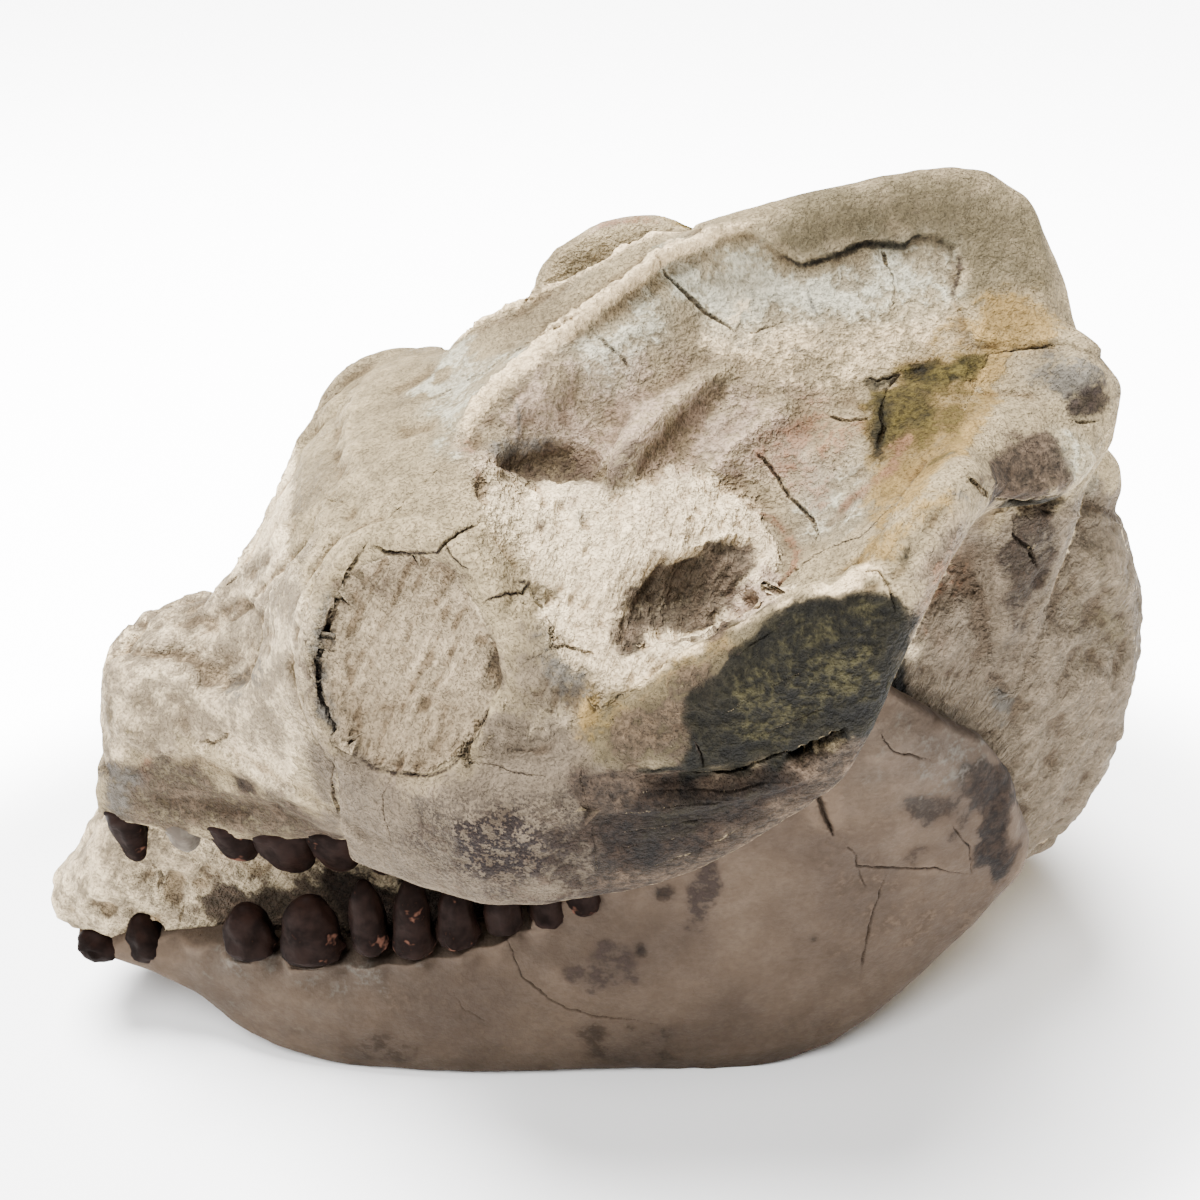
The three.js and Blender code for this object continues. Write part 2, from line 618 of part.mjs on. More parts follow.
function jawBone(side) {
  const { rings: count, sides, foot, top } = JAW_SECTION;
  const [low, high, outer, thick] = ["low", "high", "outer", "thick"].map((key) => curveOf(JAW, key, "x"));
  const [front, back] = [JAW[0].x, JAW[JAW.length - 1].x];
  const rings = [];
  for (let i = 0; i <= count; i++) {
    const x = front + ((back - front) * i) / count;
    const inner = Math.max(outer(x) - thick(x), GAP / 2);
    rings.push(
      angles(sides).map((angle) => {
        const [u, v] = oblong(angle, Math.sin(angle) < 0 ? foot : top);
        const y = (outer(x) + inner) / 2 + (u * (outer(x) - inner)) / 2;
        return new THREE.Vector3(x, y * side, (high(x) + low(x)) / 2 + (v * (high(x) - low(x))) / 2);
      }),
    );
  }
  return keep(skin(rings), [0, 0, 1], [0, 0, 0]);
}

// Teeth

// A blunt cusp whose tip points up or down, with its root sunk past the gum.
function cusp(x, y, z, length, width, height, upward) {
  const profile = [
    [0, -TOOTH_ROOT],
    [CROWN_NECK, -TOOTH_ROOT],
    [1, height * CROWN_BULGE],
    [CROWN_SHOULDER.radius, height * CROWN_SHOULDER.rise],
    [0, height],
  ].map(([radius, rise]) => new THREE.Vector2(radius, rise));
  const crown = new THREE.LatheGeometry(profile, CROWN_SIDES);
  crown.rotateX(upward ? Math.PI / 2 : -Math.PI / 2);
  crown.scale(length / 2, width / 2, 1);
  crown.translate(x, y, z);
  return solidOf(crown);
}

// Every cusp of a row whose place is between two distances from the nose.
function toothRow(teeth, width, rowAt, side, upward, from = 0, to = Infinity) {
  const row = [];
  for (const tooth of teeth) {
    const pitch = tooth.length / tooth.cusps;
    for (let i = 0; i < tooth.cusps; i++) {
      const x = tooth.x + (i - (tooth.cusps - 1) / 2) * pitch;
      if (x < from || x >= to) continue;
      const [y, z] = rowAt(x);
      row.push(cusp(x, y * side, z, pitch * CROWN_OVERLAP, width, tooth.height, upward));
    }
  }
  return row;
}

function upperRow(side, from, to) {
  const gum = levelCurve(FACE, "gum");
  const rowAt = (x) => [gum(x)[0] - UPPER_ROW_INSET, gum(x)[1] + UPPER_ROW_SINK];
  return toothRow(UPPER_TEETH, UPPER_CROWN_WIDTH, rowAt, side, false, from, to);
}

function lowerRow(side) {
  const high = curveOf(JAW, "high", "x");
  const outer = curveOf(JAW, "outer", "x");
  const rowAt = (x) => [outer(x) - LOWER_ROW_INSET, high(x) - LOWER_ROW_SINK];
  return toothRow(LOWER_TEETH, LOWER_CROWN_WIDTH, rowAt, side, true);
}

// The cranium, modelled whole and then parted

const sides = [LEFT, RIGHT];
const arches = sides.map(archBlade);
const archCuts = sides.map((side) => ({
  normal: [ARCH_ROOT.normal[0], ARCH_ROOT.normal[1] * side, 0],
  point: [ARCH_ROOT.at[0], ARCH_ROOT.at[1] * side, 0],
}));

function zygoma(index) {
  const behindFace = keep(arches[index], [1, 0, 0], [FACE_BACK + GAP / 2, 0, 0]);
  const [, blade] = parted(behindFace, archCuts[index].normal, archCuts[index].point);
  return largest(blade);
}

function archRoots(index) {
  const cheekRoot = keep(arches[index], [-1, 0, 0], [FACE_BACK - GAP / 2, 0, 0]);
  const [earRoot] = parted(arches[index], archCuts[index].normal, archCuts[index].point);
  return joined(cheekRoot, largest(earRoot));
}

const zygomas = sides.map((_, index) => zygoma(index));

// The shelf on the right is carried forwards with its arch.
function shelf(side, index) {
  const forward = side === RIGHT ? RIGHT_ARCH_FORWARD / 2 : 0;
  const moved = SHELF.map((station) => ({ ...station, at: station.at - forward }));
  return largest(clearOf(oneSided(moved, SHELF_LEVELS, LOFT.shelf, side), zygomas[index]));
}

const sockets = sides.map((side) => socketBowl(side, 0, SOCKET_DEPTH, SOCKET_DEPTH));

const cranium = joined(
  twoSided(FACE, FACE_LEVELS, LOFT.cranium),
  twoSided(BRAIN, BRAIN_LEVELS, LOFT.cranium),
  ...sides.map((_, index) => archRoots(index)),
  ...sides.map(shelf),
  ...sides.map(socketRim),
  ...sides.flatMap((side) => [EAR_FLANGE, CONDYLE].map((mass) => ellipsoid(mass, side))),
  ...sides.map((side) => ridge(NUCHAL_RIDGE, NUCHAL_SECTION, side)),
  ...sides.map((side) => ridge(BRAIN_RIDGE, BRAIN_RIDGE_SECTION, side)),
);
const hollowed = sockets.reduce((whole, bowl) => whole.subtract(bowl), cranium);

const [behindSnout, snoutWhole] = parted(hollowed, [1, 0, 0], [SNOUT_BACK, 0, 0]);
const [behindFace, faceWhole] = parted(behindSnout, [1, 0, 0], [FACE_BACK, 0, 0]);
const [occiputWhole, vault] = parted(behindFace, [1, 0, 0], [BRAINCASE_BACK, 0, 0]);

const breakRun = [NOSE_BREAK.high[0] - NOSE_BREAK.low[0], NOSE_BREAK.high[1] - NOSE_BREAK.low[1]];
const [noseWhole, snoutBone] = parted(
  snoutWhole,
  [-breakRun[1], 0, breakRun[0]],
  [NOSE_BREAK.low[0], 0, NOSE_BREAK.low[1]],
);
const crestRun = [CREST_FOOT.back[0] - CREST_FOOT.front[0], CREST_FOOT.back[1] - CREST_FOOT.front[1]];
const [vaultAbove, vaultBelow] = parted(
  vault,
  [-crestRun[1], 0, crestRun[0]],
  [CREST_FOOT.front[0], 0, CREST_FOOT.front[1]],
);

const teethOf = (from, to) => sides.flatMap((side) => upperRow(side, from, to));
const snout = tidied(
  keep(joined(snoutBone, ...teethOf(0, FACE_TEETH_FROM)), [-1, 0, 0], [SNOUT_BACK - GAP / 2, 0, 0]),
);
const face = tidied(
  keep(joined(faceWhole, ...teethOf(FACE_TEETH_FROM)), [1, 0, 0], [SNOUT_BACK + GAP / 2, 0, 0]),
);
const braincase = tidied(vaultBelow);
const crest = tidied(vaultAbove);
const occiput = tidied(occiputWhole);
const noseFill = tidied(noseWhole);

// The other pieces, each cut clear of its neighbours

const paroccipitals = sides.map((side) => tidied(clearOf(paroccipital(side), occiput, braincase)));
const jaws = sides.map((side) => tidied(clearOf(joined(jawBone(side), ...lowerRow(side)), snout, face)));
const socketFills = sides.map((side) => socketBowl(side, GAP, SOCKET_DEPTH - GAP, -SOCKET_FILL_DEPTH));
const temples = sides.map((side, index) => {
  const whole = oneSided(TEMPLE, TEMPLE_LEVELS, LOFT.temple, side);
  const filled = side === LEFT ? whole.subtract(ellipsoid(TEMPLE_HOLLOW, side)) : whole;
  return bedded(filled, face, braincase, zygomas[index], jaws[index]);
});
const mouthFill = bedded(twoSided(MOUTH_FILL, FILL_LEVELS, LOFT.mouth), snout, face, braincase, ...jaws);
const napeFill = bedded(
  twoSided(NAPE_FILL, FILL_LEVELS, LOFT.nape),
  braincase,
  occiput,
  ...paroccipitals,
  ...jaws,
);

// Scene graph

const skull = new THREE.Group();

function add(name, solid, material) {
  const mesh = new THREE.Mesh(geometryOf(solid), material);
  mesh.name = name;
  skull.add(mesh);
}

add("snout", snout, BONE);
add("face", face, BONE);
add("braincase", braincase, BONE);
add("sagittal_crest", crest, BONE);
add("occiput", occiput, BONE);
sides.forEach((side, index) => {
  const hand = side === LEFT ? "left" : "right";
  add(`zygomatic_arch_${hand}`, zygomas[index], BONE);
  add(`paroccipital_process_${hand}`, paroccipitals[index], BONE);
  add(`lower_jaw_${hand}`, jaws[index], JAWBONE);
  add(`eye_socket_sediment_${hand}`, socketFills[index], SEDIMENT);
  add(`temple_sediment_${hand}`, temples[index], SEDIMENT);
});
add("nose_sediment", noseFill, SEDIMENT);
add("mouth_sediment", mouthFill, SEDIMENT);
add("nape_sediment", napeFill, SEDIMENT);

// The origin is the middle of the footprint, on the table.
const box = new THREE.Box3().setFromObject(skull);
const middle = box.getCenter(new THREE.Vector3());
for (const mesh of skull.children) mesh.position.set(-middle.x, -middle.y, -box.min.z);

export default skull;
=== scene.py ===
# A fossil oreodont skull with its lower jaws: weathered bone, dark teeth and the pale sediment
# that still fills the eye sockets, the temples, the nose, the mouth and the nape.
# Metres. The nose points to -X, the left cheek to -Y, and the jaws rest on Z = 0.

import math
import random
from collections import namedtuple

import bmesh
import bpy
import numpy as np
from mathutils import Matrix, Vector, noise
from mathutils.bvhtree import BVHTree


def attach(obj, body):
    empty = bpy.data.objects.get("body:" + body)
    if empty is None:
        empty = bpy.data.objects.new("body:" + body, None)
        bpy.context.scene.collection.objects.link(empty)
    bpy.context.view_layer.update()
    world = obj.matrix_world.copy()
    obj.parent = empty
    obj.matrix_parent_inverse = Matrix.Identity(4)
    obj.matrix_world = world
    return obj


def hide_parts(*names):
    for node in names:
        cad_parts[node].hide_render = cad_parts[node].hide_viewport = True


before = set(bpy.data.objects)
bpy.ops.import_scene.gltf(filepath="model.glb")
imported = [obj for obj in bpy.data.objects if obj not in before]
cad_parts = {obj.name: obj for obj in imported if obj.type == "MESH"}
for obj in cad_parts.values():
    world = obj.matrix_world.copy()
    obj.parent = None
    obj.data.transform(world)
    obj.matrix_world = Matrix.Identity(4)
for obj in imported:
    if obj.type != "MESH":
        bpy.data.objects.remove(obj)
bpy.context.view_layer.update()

MM = 0.001

# The camera: where it stands, which way it looks, and its focal length on the square picture.
EYE = Vector((-0.0309, -0.1908, 0.2021))
AZIMUTH = math.radians(-10.29)
ELEVATION = math.radians(31.55)
PICTURE = 1200
FOCAL = 1235.07
SENSOR = 36.0

ACROSS = Vector((math.cos(AZIMUTH), math.sin(AZIMUTH), 0.0))
BACKWARD = Vector((
    math.sin(AZIMUTH) * math.cos(ELEVATION),
    -math.cos(AZIMUTH) * math.cos(ELEVATION),
    math.sin(ELEVATION),
))
UPWARD = BACKWARD.cross(ACROSS)
PIXELS_PER_MM = 5.6

# Sizes of the modelling grain, in millimetres.
SWELL = 1.1  # neighbouring bones meet across the joints between them
SHRINK = 0.7  # then the skin is taken back
BONE_GRAIN = 0.82
JAW_GRAIN = 0.9
FILL_GRAIN = 0.7
SKULL_SMOOTHING = 7
GUM_REACH = 36.0  # sideways, from the midline
NOSE_FLAT = -83.5  # the nose is taken back in front of this
NOSE_FOOT = 64.0
CLEARANCE = 4.0  # marks fall on what is seen past this
TORN = 6.0  # how ragged the outlines of stains are
SKIRT = 2.5  # how far a share of the skull goes down inside it
MOST_TRIANGLES = 190000
MOST_SKULL_TRIANGLES = 380000

# Marks on the left side of the skull, drawn in pixels of the picture and laid on the surface seen
# there. The right side carries the same marks, shifted a little. Lengths are in millimetres.
#   Form: a ridge or a hollow along a line.   Patch: an outlined area, raised or sunk, also on
#   surfaces that are not seen there if it goes through.   Taut: an area that is evened out.
#   Crack: a line cut into the surface.       Stain, Tint: a colour along a line, over an area.
Form = namedtuple("Form", "reach height pixels sharp", defaults=[False])
Patch = namedtuple("Patch", "height edge pixels through", defaults=[False])
Crack = namedtuple("Crack", "width depth pixels")
Stain = namedtuple("Stain", "mask reach strength pixels")
Tint = namedtuple("Tint", "mask edge strength pixels")
Taut = namedtuple("Taut", "rounds edge pixels")

FINE_AREAS = [
    # eye socket, temple and blade of the cheek arch
    [(345, 560), (400, 545), (455, 555), (500, 620), (500, 700), (470, 760), (420, 785), (370, 770),
     (330, 720), (318, 650)],
    [(485, 470), (600, 478), (745, 495), (800, 550), (760, 620), (600, 720), (560, 650), (520, 580)],
    [(580, 760), (600, 690), (800, 590), (900, 590), (890, 700), (830, 760), (620, 900), (590, 890)],
    # torn sheet of bone on the crest
    [(740, 225), (800, 245), (870, 225), (970, 225), (985, 310), (880, 330), (780, 300)],
]

TAUT_AREAS = [
    # bar of bone between the eye socket and the temple
    Taut(250, 3, [(505, 560), (545, 600), (575, 640), (610, 690), (615, 728), (560, 745), (515, 740),
                  (505, 700), (510, 640)]),
    # hollow in the sediment of the temple, which is shallow at its front
    Taut(45, 3, [(604, 655), (612, 600), (650, 560), (700, 535), (770, 528), (778, 560), (740, 620),
                 (720, 650), (650, 665)]),
    # face of the skull behind the ear, and the root of the cheek arch in front of it
    Taut(160, 4, [(985, 352), (1050, 348), (1092, 395), (1098, 440), (1062, 478), (1010, 474), (980, 450),
                  (965, 400)]),
    Taut(120, 4, [(860, 560), (900, 505), (950, 440), (975, 395), (950, 385), (900, 430), (860, 500),
                  (840, 550)]),
    # where the sediment of the temple runs onto the brow
    Taut(250, 3, [(488, 500), (575, 500), (590, 560), (570, 620), (535, 600), (500, 570)]),
]

CRANIUM_FORMS = [
    # hollow under the brow and over the temple fill
    Form(11, -1.6, [(505, 440), (560, 430), (605, 405)]),
    Form(5.5, -2.6, [(500, 462), (550, 466), (602, 474)]),
    # broken ridge on the braincase, and the lower one behind it
    Form(3.4, 1.8, [(612, 492), (620, 462), (646, 428), (674, 404), (702, 384), (730, 370)], True),
    Form(5.0, -0.6, [(640, 484), (655, 458), (684, 432), (712, 410)]),
    Form(4.0, 1.8, [(696, 490), (722, 460), (752, 434), (788, 404)], True),
    Form(8.0, -1.8, [(780, 480), (812, 500), (850, 470)]),
    # cream ridges that run together into the crest
    Form(2.2, 2.0, [(458, 446), (466, 422), (479, 402), (496, 389), (525, 359), (562, 329),
                    (595, 306), (632, 280), (658, 260), (695, 243), (752, 224)], True),
    Form(1.0, 0.6, [(458, 446), (466, 422), (479, 402), (496, 389), (525, 359), (562, 329),
                    (595, 306), (632, 280), (658, 260), (695, 243)], True),
    Form(3.4, -1.1, [(472, 454), (480, 430), (494, 412), (510, 400), (539, 371), (575, 342),
                     (608, 319), (644, 293), (670, 274), (707, 257)]),
    Form(1.5, 0.8, [(479, 349), (512, 329), (562, 304), (612, 278), (655, 253), (695, 233)], True),
    # nub and flange behind the ear
    Form(5.0, 1.2, [(1070, 366), (1088, 380)]),
    Form(2.2, 1.4, [(985, 480), (1010, 488), (1040, 488), (1062, 482)], True),
    Form(2.6, -2.8, [(998, 507), (1030, 506), (1060, 502)]),
    # notch between brow and temple
    Form(2.0, -2.6, [(479, 470), (484, 500)]),
    Form(1.6, 1.3, [(484, 474), (505, 468), (520, 472), (532, 484)], True),
    # edge of the nasal bones and dents in the forehead
    Form(2.2, 1.9, [(203, 598), (226, 572), (258, 546), (287, 510)], True),
    Form(2.2, -1.7, [(210, 614), (236, 593), (266, 566), (296, 532)]),
    Form(5.0, -1.2, [(262, 580), (292, 534), (314, 505)]),
    Form(4.0, -0.9, [(330, 492), (352, 500), (345, 525)]),
    Form(4.5, -0.8, [(395, 430), (430, 425)]),
    Form(4.0, 0.7, [(340, 455), (372, 445)]),
    # groove round the front of the eye socket, and the cheek swelling under it
    Form(2.4, -1.4, [(340, 534), (312, 572), (296, 620), (291, 670), (303, 718)]),
    Form(1.8, 1.2, [(356, 540), (332, 575), (314, 620), (306, 668), (315, 712), (332, 740)], True),
    Form(12.0, 1.0, [(470, 800), (520, 800)]),
    # hollow upper jaw under its lip
    Form(3.0, 0.9, [(150, 752), (200, 748), (247, 770), (281, 792), (330, 815), (362, 842)]),
    Form(6.0, -1.5, [(150, 800), (250, 815), (318, 838)]),
]

CRANIUM_PATCHES = [
    # nasal bones, and the sediment that is worn back under their tip
    Patch(-2.2, 5.0, [(150, 560), (230, 490), (290, 430), (335, 415), (345, 470), (300, 530), (270, 580),
                      (255, 650), (240, 690), (200, 690), (170, 662), (60, 655), (60, 560)], True),
    Patch(-1.4, 1.6, [(60, 560), (140, 570), (201, 604), (228, 590), (248, 610), (252, 650), (235, 690),
                      (200, 690), (175, 660), (60, 650)], True),
    # edge of the crest, over the sheet of bone that is broken off its side
    Patch(0.9, 0.6, [(752, 232), (775, 248), (800, 264), (835, 256), (862, 242), (890, 247), (905, 246),
                     (916, 236), (936, 236), (952, 247), (960, 268), (956, 296), (975, 345), (1060, 345),
                     (1120, 360), (1120, 140), (740, 140), (700, 240)]),
    Patch(0.35, 0.5, [(838, 250), (868, 244), (884, 262), (894, 290), (890, 318), (860, 318), (842, 300)]),
    # corner of bone between the eye socket and the temple
    Patch(0.5, 0.6, [(446, 545), (482, 524), (504, 560), (528, 584), (520, 596), (490, 602), (470, 572)]),
]

CRANIUM_CRACKS = [
    Crack(1.12, 1.92, [(367, 541), (356, 560), (340, 590), (328, 628), (316, 662), (318, 682), (324, 704),
                     (335, 730), (346, 741)]),
    Crack(1.0, 1.44, [(373, 546), (386, 552), (412, 553), (437, 552), (445, 543), (459, 534), (481, 523)]),
    Crack(0.62, 0.84, [(445, 543), (451, 556), (474, 573)]),
    Crack(0.88, 1.32, [(490, 609), (486, 600), (504, 594), (523, 593), (528, 583)]),
    Crack(0.75, 1.08, [(495, 692), (486, 716), (478, 735), (465, 752), (450, 768), (430, 776), (400, 774)]),
    Crack(0.75, 1.08, [(655, 251), (666, 274), (686, 292), (707, 312), (732, 328), (745, 335)]),
    Crack(0.5, 0.6, [(745, 335), (765, 329), (786, 321)]),
    Crack(0.5, 0.6, [(585, 323), (598, 336), (622, 356), (635, 376)]),
    Crack(0.88, 1.08, [(750, 446), (771, 467), (789, 496), (811, 517), (818, 531), (811, 549)]),
    Crack(0.5, 0.6, [(882, 249), (893, 278), (896, 303), (879, 317)]),
    Crack(0.5, 0.6, [(804, 281), (814, 310)]),
    Crack(0.75, 0.96, [(1057, 345), (1020, 350), (989, 355), (982, 372), (966, 408), (957, 424)]),
    Crack(1.0, 1.44, [(862, 378), (879, 381), (900, 374), (886, 392), (880, 410), (884, 428), (876, 452)]),
    Crack(0.75, 0.96, [(822, 412), (846, 420), (866, 418), (878, 408)]),
    Crack(1.0, 1.2, [(768, 604), (779, 582), (801, 565), (829, 548), (863, 537), (897, 500)]),
    Crack(1.0, 1.32, [(970, 474), (993, 498), (1021, 500), (1064, 494)]),
    Crack(0.62, 0.96, [(303, 456), (330, 440), (356, 424), (380, 419), (389, 412), (413, 404), (436, 397),
                     (461, 383), (486, 371), (509, 353), (540, 335), (580, 313)]),
    Crack(0.5, 0.6, [(459, 452), (436, 472), (413, 495), (389, 518), (373, 535)]),
    Crack(0.5, 0.6, [(318, 486), (330, 500), (350, 504)]),
    Crack(0.75, 0.96, [(205, 600), (222, 590), (240, 575)]),
    Crack(0.62, 0.84, [(335, 758), (331, 772), (333, 798), (340, 822)]),
    Crack(0.62, 0.72, [(391, 779), (382, 798), (383, 812), (392, 845)]),
    Crack(0.5, 0.6, [(199, 741), (213, 744), (228, 735)]),
    Crack(0.62, 0.72, [(464, 759), (492, 765), (516, 773), (547, 777)]),
    Crack(0.75, 0.96, [(1012, 510), (1014, 536), (1030, 550), (1040, 572)]),
    Crack(0.62, 0.84, [(1068, 418), (1086, 422), (1100, 420)]),
]

# Fine healed cracks, filled with pale stone.
CRANIUM_VEINS = [
    Crack(0.4, 0.3, [(483, 725), (502, 724), (516, 730), (535, 742)]),
    Crack(0.4, 0.25, [(499, 726), (528, 727), (560, 733)]),
    Crack(0.4, 0.25, [(469, 760), (492, 754), (528, 750)]),
    Crack(0.4, 0.25, [(497, 701), (539, 705), (561, 717)]),
    Crack(0.4, 0.25, [(456, 766), (480, 793), (492, 805)]),
    Crack(0.4, 0.25, [(516, 668), (540, 654), (556, 647)]),
    Crack(0.4, 0.25, [(352, 795), (366, 780), (372, 770)]),
    Crack(0.4, 0.25, [(345, 845), (362, 868), (390, 884)]),
]

CRANIUM_TINTS = [
    Tint("silt", 5, 0.9, [(100, 610), (200, 600), (300, 540), (312, 600), (300, 690), (316, 745), (330, 800),
                          (290, 795), (245, 770), (200, 748), (105, 755)]),
    Tint("silt", 4, 0.7, [(484, 470), (520, 468), (600, 488), (600, 540), (545, 600), (524, 575), (498, 545)]),
    # the cheek and the upper jaw under it are darkened: brown stone, and painted shade on the lower face
    Tint("sand and shade", 6, 1.0, [(290, 735), (345, 750), (380, 785), (430, 785), (470, 765), (500, 720), (560, 710),
                          (600, 745), (660, 745), (660, 950), (430, 950), (320, 890)]),
    Tint("sand and shade", 6, 0.5, [(505, 600), (545, 620), (600, 700), (610, 745), (520, 760), (490, 740), (500, 690)]),
    Tint("rose", 9, 0.8, [(320, 800), (400, 785), (560, 780), (610, 760), (610, 900), (430, 910), (380, 880)]),
    Tint("rose", 8, 0.55, [(480, 400), (560, 350), (640, 350), (800, 400), (820, 480), (700, 490), (500, 480)]),
    Tint("umber and shade", 3, 0.75, [(104, 762), (195, 756), (247, 780), (300, 806), (350, 840), (330, 850), (210, 840),
                           (104, 830)]),
    Tint("slate", 4, 0.55, [(105, 765), (132, 765), (138, 812), (104, 826)]),
    Tint("bleach", 7, 0.75, [(662, 262), (700, 250), (760, 252), (800, 270), (850, 256), (880, 248), (945, 250),
                            (956, 290), (905, 318), (850, 326), (780, 318), (745, 330), (700, 310)]),
    Tint("bleach", 6, 0.5, [(560, 350), (610, 316), (655, 280), (690, 310), (640, 350), (590, 372)]),
    Tint("bleach", 5, 0.6, [(430, 420), (470, 378), (520, 340), (500, 372), (470, 410), (448, 440)]),
    Tint("cream", 7, 0.6, [(700, 335), (800, 325), (950, 318), (960, 350), (870, 372), (760, 366)]),
    Tint("khaki and shade", 5, 0.75, [(760, 225), (800, 190), (880, 175), (1000, 175), (1050, 240), (1055, 300),
                           (1000, 300), (968, 300), (960, 250), (900, 235), (840, 245), (790, 255)]),
    Tint("ochre", 5, 0.85, [(955, 325), (985, 300), (1030, 290), (1056, 310), (1052, 345), (990, 350)]),
    Tint("ochre", 3, 0.8, [(870, 385), (925, 352), (985, 345), (1010, 352), (985, 430), (930, 490), (880, 520),
                            (862, 470)]),
    Tint("olive", 3, 0.6, [(866, 385), (920, 356), (980, 356), (975, 400), (940, 450), (890, 490), (866, 470)]),
    Tint("olive", 2, 1.0, [(900, 378), (925, 358), (960, 356), (982, 364), (972, 380), (925, 388)]),
    Tint("olive", 3, 0.9, [(866, 385), (900, 380), (930, 400), (925, 440), (895, 475), (872, 465), (866, 420)]),
    Tint("ochre", 2, 0.8, [(930, 430), (980, 375), (1000, 385), (985, 430), (940, 480), (900, 520), (860, 560),
                           (840, 580), (880, 510)]),
    Tint("rust", 5, 0.5, [(800, 400), (860, 420), (860, 470), (820, 520), (790, 490), (760, 450)]),
    Tint("bleach", 5, 0.55, [(800, 460), (860, 440), (880, 480), (830, 540), (800, 520)]),
    Tint("umber and shade", 2.5, 0.9, [(1000, 432), (1050, 425), (1066, 480), (1040, 498), (985, 500), (972, 480)]),
    Tint("brown", 2.5, 0.7, [(998, 505), (1066, 500), (1060, 540), (1040, 590), (1020, 620), (1004, 660),
                            (1000, 600), (1010, 560)]),
    Tint("slate", 4, 0.8, [(1030, 365), (1060, 350), (1085, 358), (1105, 380), (1085, 395), (1045, 400)]),
    Tint("plum", 3, 0.95, [(1062, 415), (1080, 392), (1102, 382), (1108, 420), (1092, 424)]),
    Tint("bleach", 4, 0.45, [(1056, 425), (1090, 426), (1098, 450), (1084, 482), (1062, 460)]),
    Tint("violet", 3, 1.0, [(436, 815), (480, 810), (545, 815), (560, 850), (545, 880), (505, 885),
                             (460, 856)]),
    Tint("umber and shade", 7, 0.6, [(420, 830), (480, 812), (610, 800), (612, 900), (460, 900)]),
    Tint("brown", 4, 0.6, [(540, 822), (600, 800), (612, 880), (560, 892), (530, 870)]),
    Tint("violet", 8, 0.6, [(400, 790), (580, 780), (590, 880), (420, 860)]),
]

CRANIUM_STAINS = [
    Stain("cream", 2.3, 1.0, [(458, 446), (479, 402), (525, 359), (562, 329), (595, 306), (632, 280),
                              (658, 260), (695, 243), (752, 224)]),
    Stain("cream", 1.6, 0.9, [(479, 349), (512, 329), (562, 304), (612, 278), (695, 233)]),
    Stain("soot and shadow", 1.0, 1.0, [(775, 250), (800, 266), (829, 258), (864, 243), (904, 246), (914, 236), (943, 242)]),
    Stain("umber and shade", 0.9, 0.9, [(958, 254), (960, 270), (952, 298)]),
    Stain("soot and shadow", 1.6, 0.8, [(864, 382), (880, 386), (900, 376)]),
    Stain("soot and shadow", 1.8, 0.75, [(878, 392), (884, 412), (876, 440), (880, 466)]),
    # painted shadow along the lower left side of the broken ridge
    Stain("umber and shade", 3.0, 0.7, [(640, 440), (620, 466), (610, 494)]),
    # painted shadow: a black line under the flange behind the ear
    Stain("soot and shadow", 2.4, 0.95, [(998, 503), (1030, 503), (1062, 499)]),
    Stain("rust", 1.6, 0.7, [(880, 455), (905, 440), (890, 470), (850, 500), (828, 530)]),
    # painted shade in the hollow over the temple fill
    Stain("umber and shade", 5.0, 0.6, [(500, 468), (560, 474), (602, 482)]),
    Stain("rust", 2.4, 0.5, [(452, 438), (470, 450)]),
    Stain("slate", 2.4, 0.6, [(486, 452), (520, 446), (560, 440)]),
    Stain("slate", 2.6, 0.5, [(540, 630), (552, 655), (566, 692)]),
    Stain("rust", 1.3, 0.8, [(152, 752), (142, 780), (134, 798)]),
    Stain("brown", 1.8, 0.8, [(236, 780), (252, 792)]),
    Stain("brown", 1.2, 0.6, [(208, 775), (214, 776)]),
    Stain("slate", 2.0, 0.7, [(330, 590), (316, 650), (324, 710), (344, 742)]),
    Stain("ochre", 2.4, 0.85, [(586, 680), (590, 705), (584, 740)]),
    # painted shade along the rim of the eye socket and the groove outside it
    Stain("umber and shade", 2.2, 0.5, [(362, 545), (340, 585), (324, 635), (312, 665), (320, 704), (344, 742)]),
    Stain("umber and shade", 1.4, 0.4, [(350, 538), (322, 575), (306, 620), (300, 670), (312, 715)]),
    Stain("brown", 0.5, 0.9, [(495, 692), (486, 716), (478, 735), (465, 752), (450, 768), (430, 776), (400, 774),
                              (372, 768), (350, 748)]),
    Stain("brown", 0.6, 0.9, [(373, 546), (386, 552), (412, 553), (437, 552), (445, 543), (459, 534), (481, 523)]),
    Stain("brown", 0.5, 0.9, [(490, 609), (486, 600), (504, 594), (523, 593), (528, 583), (474, 573)]),
    Stain("brown", 0.4, 0.8, [(655, 251), (666, 274), (686, 292), (707, 312), (745, 335)]),
    Stain("brown", 0.4, 0.8, [(750, 446), (771, 467), (789, 496), (811, 517), (818, 531)]),
    Stain("brown", 0.4, 0.7, [(303, 456), (356, 424), (389, 412), (436, 397), (486, 371), (540, 335), (580, 313)]),
    Stain("slate", 0.5, 0.6, [(700, 345), (730, 350), (760, 340), (800, 352), (850, 340), (890, 350)]),
    Stain("slate", 0.5, 0.6, [(500, 388), (520, 410), (518, 440)]),
    Stain("slate", 0.5, 0.6, [(804, 281), (814, 310), (820, 330), (846, 352)]),
]

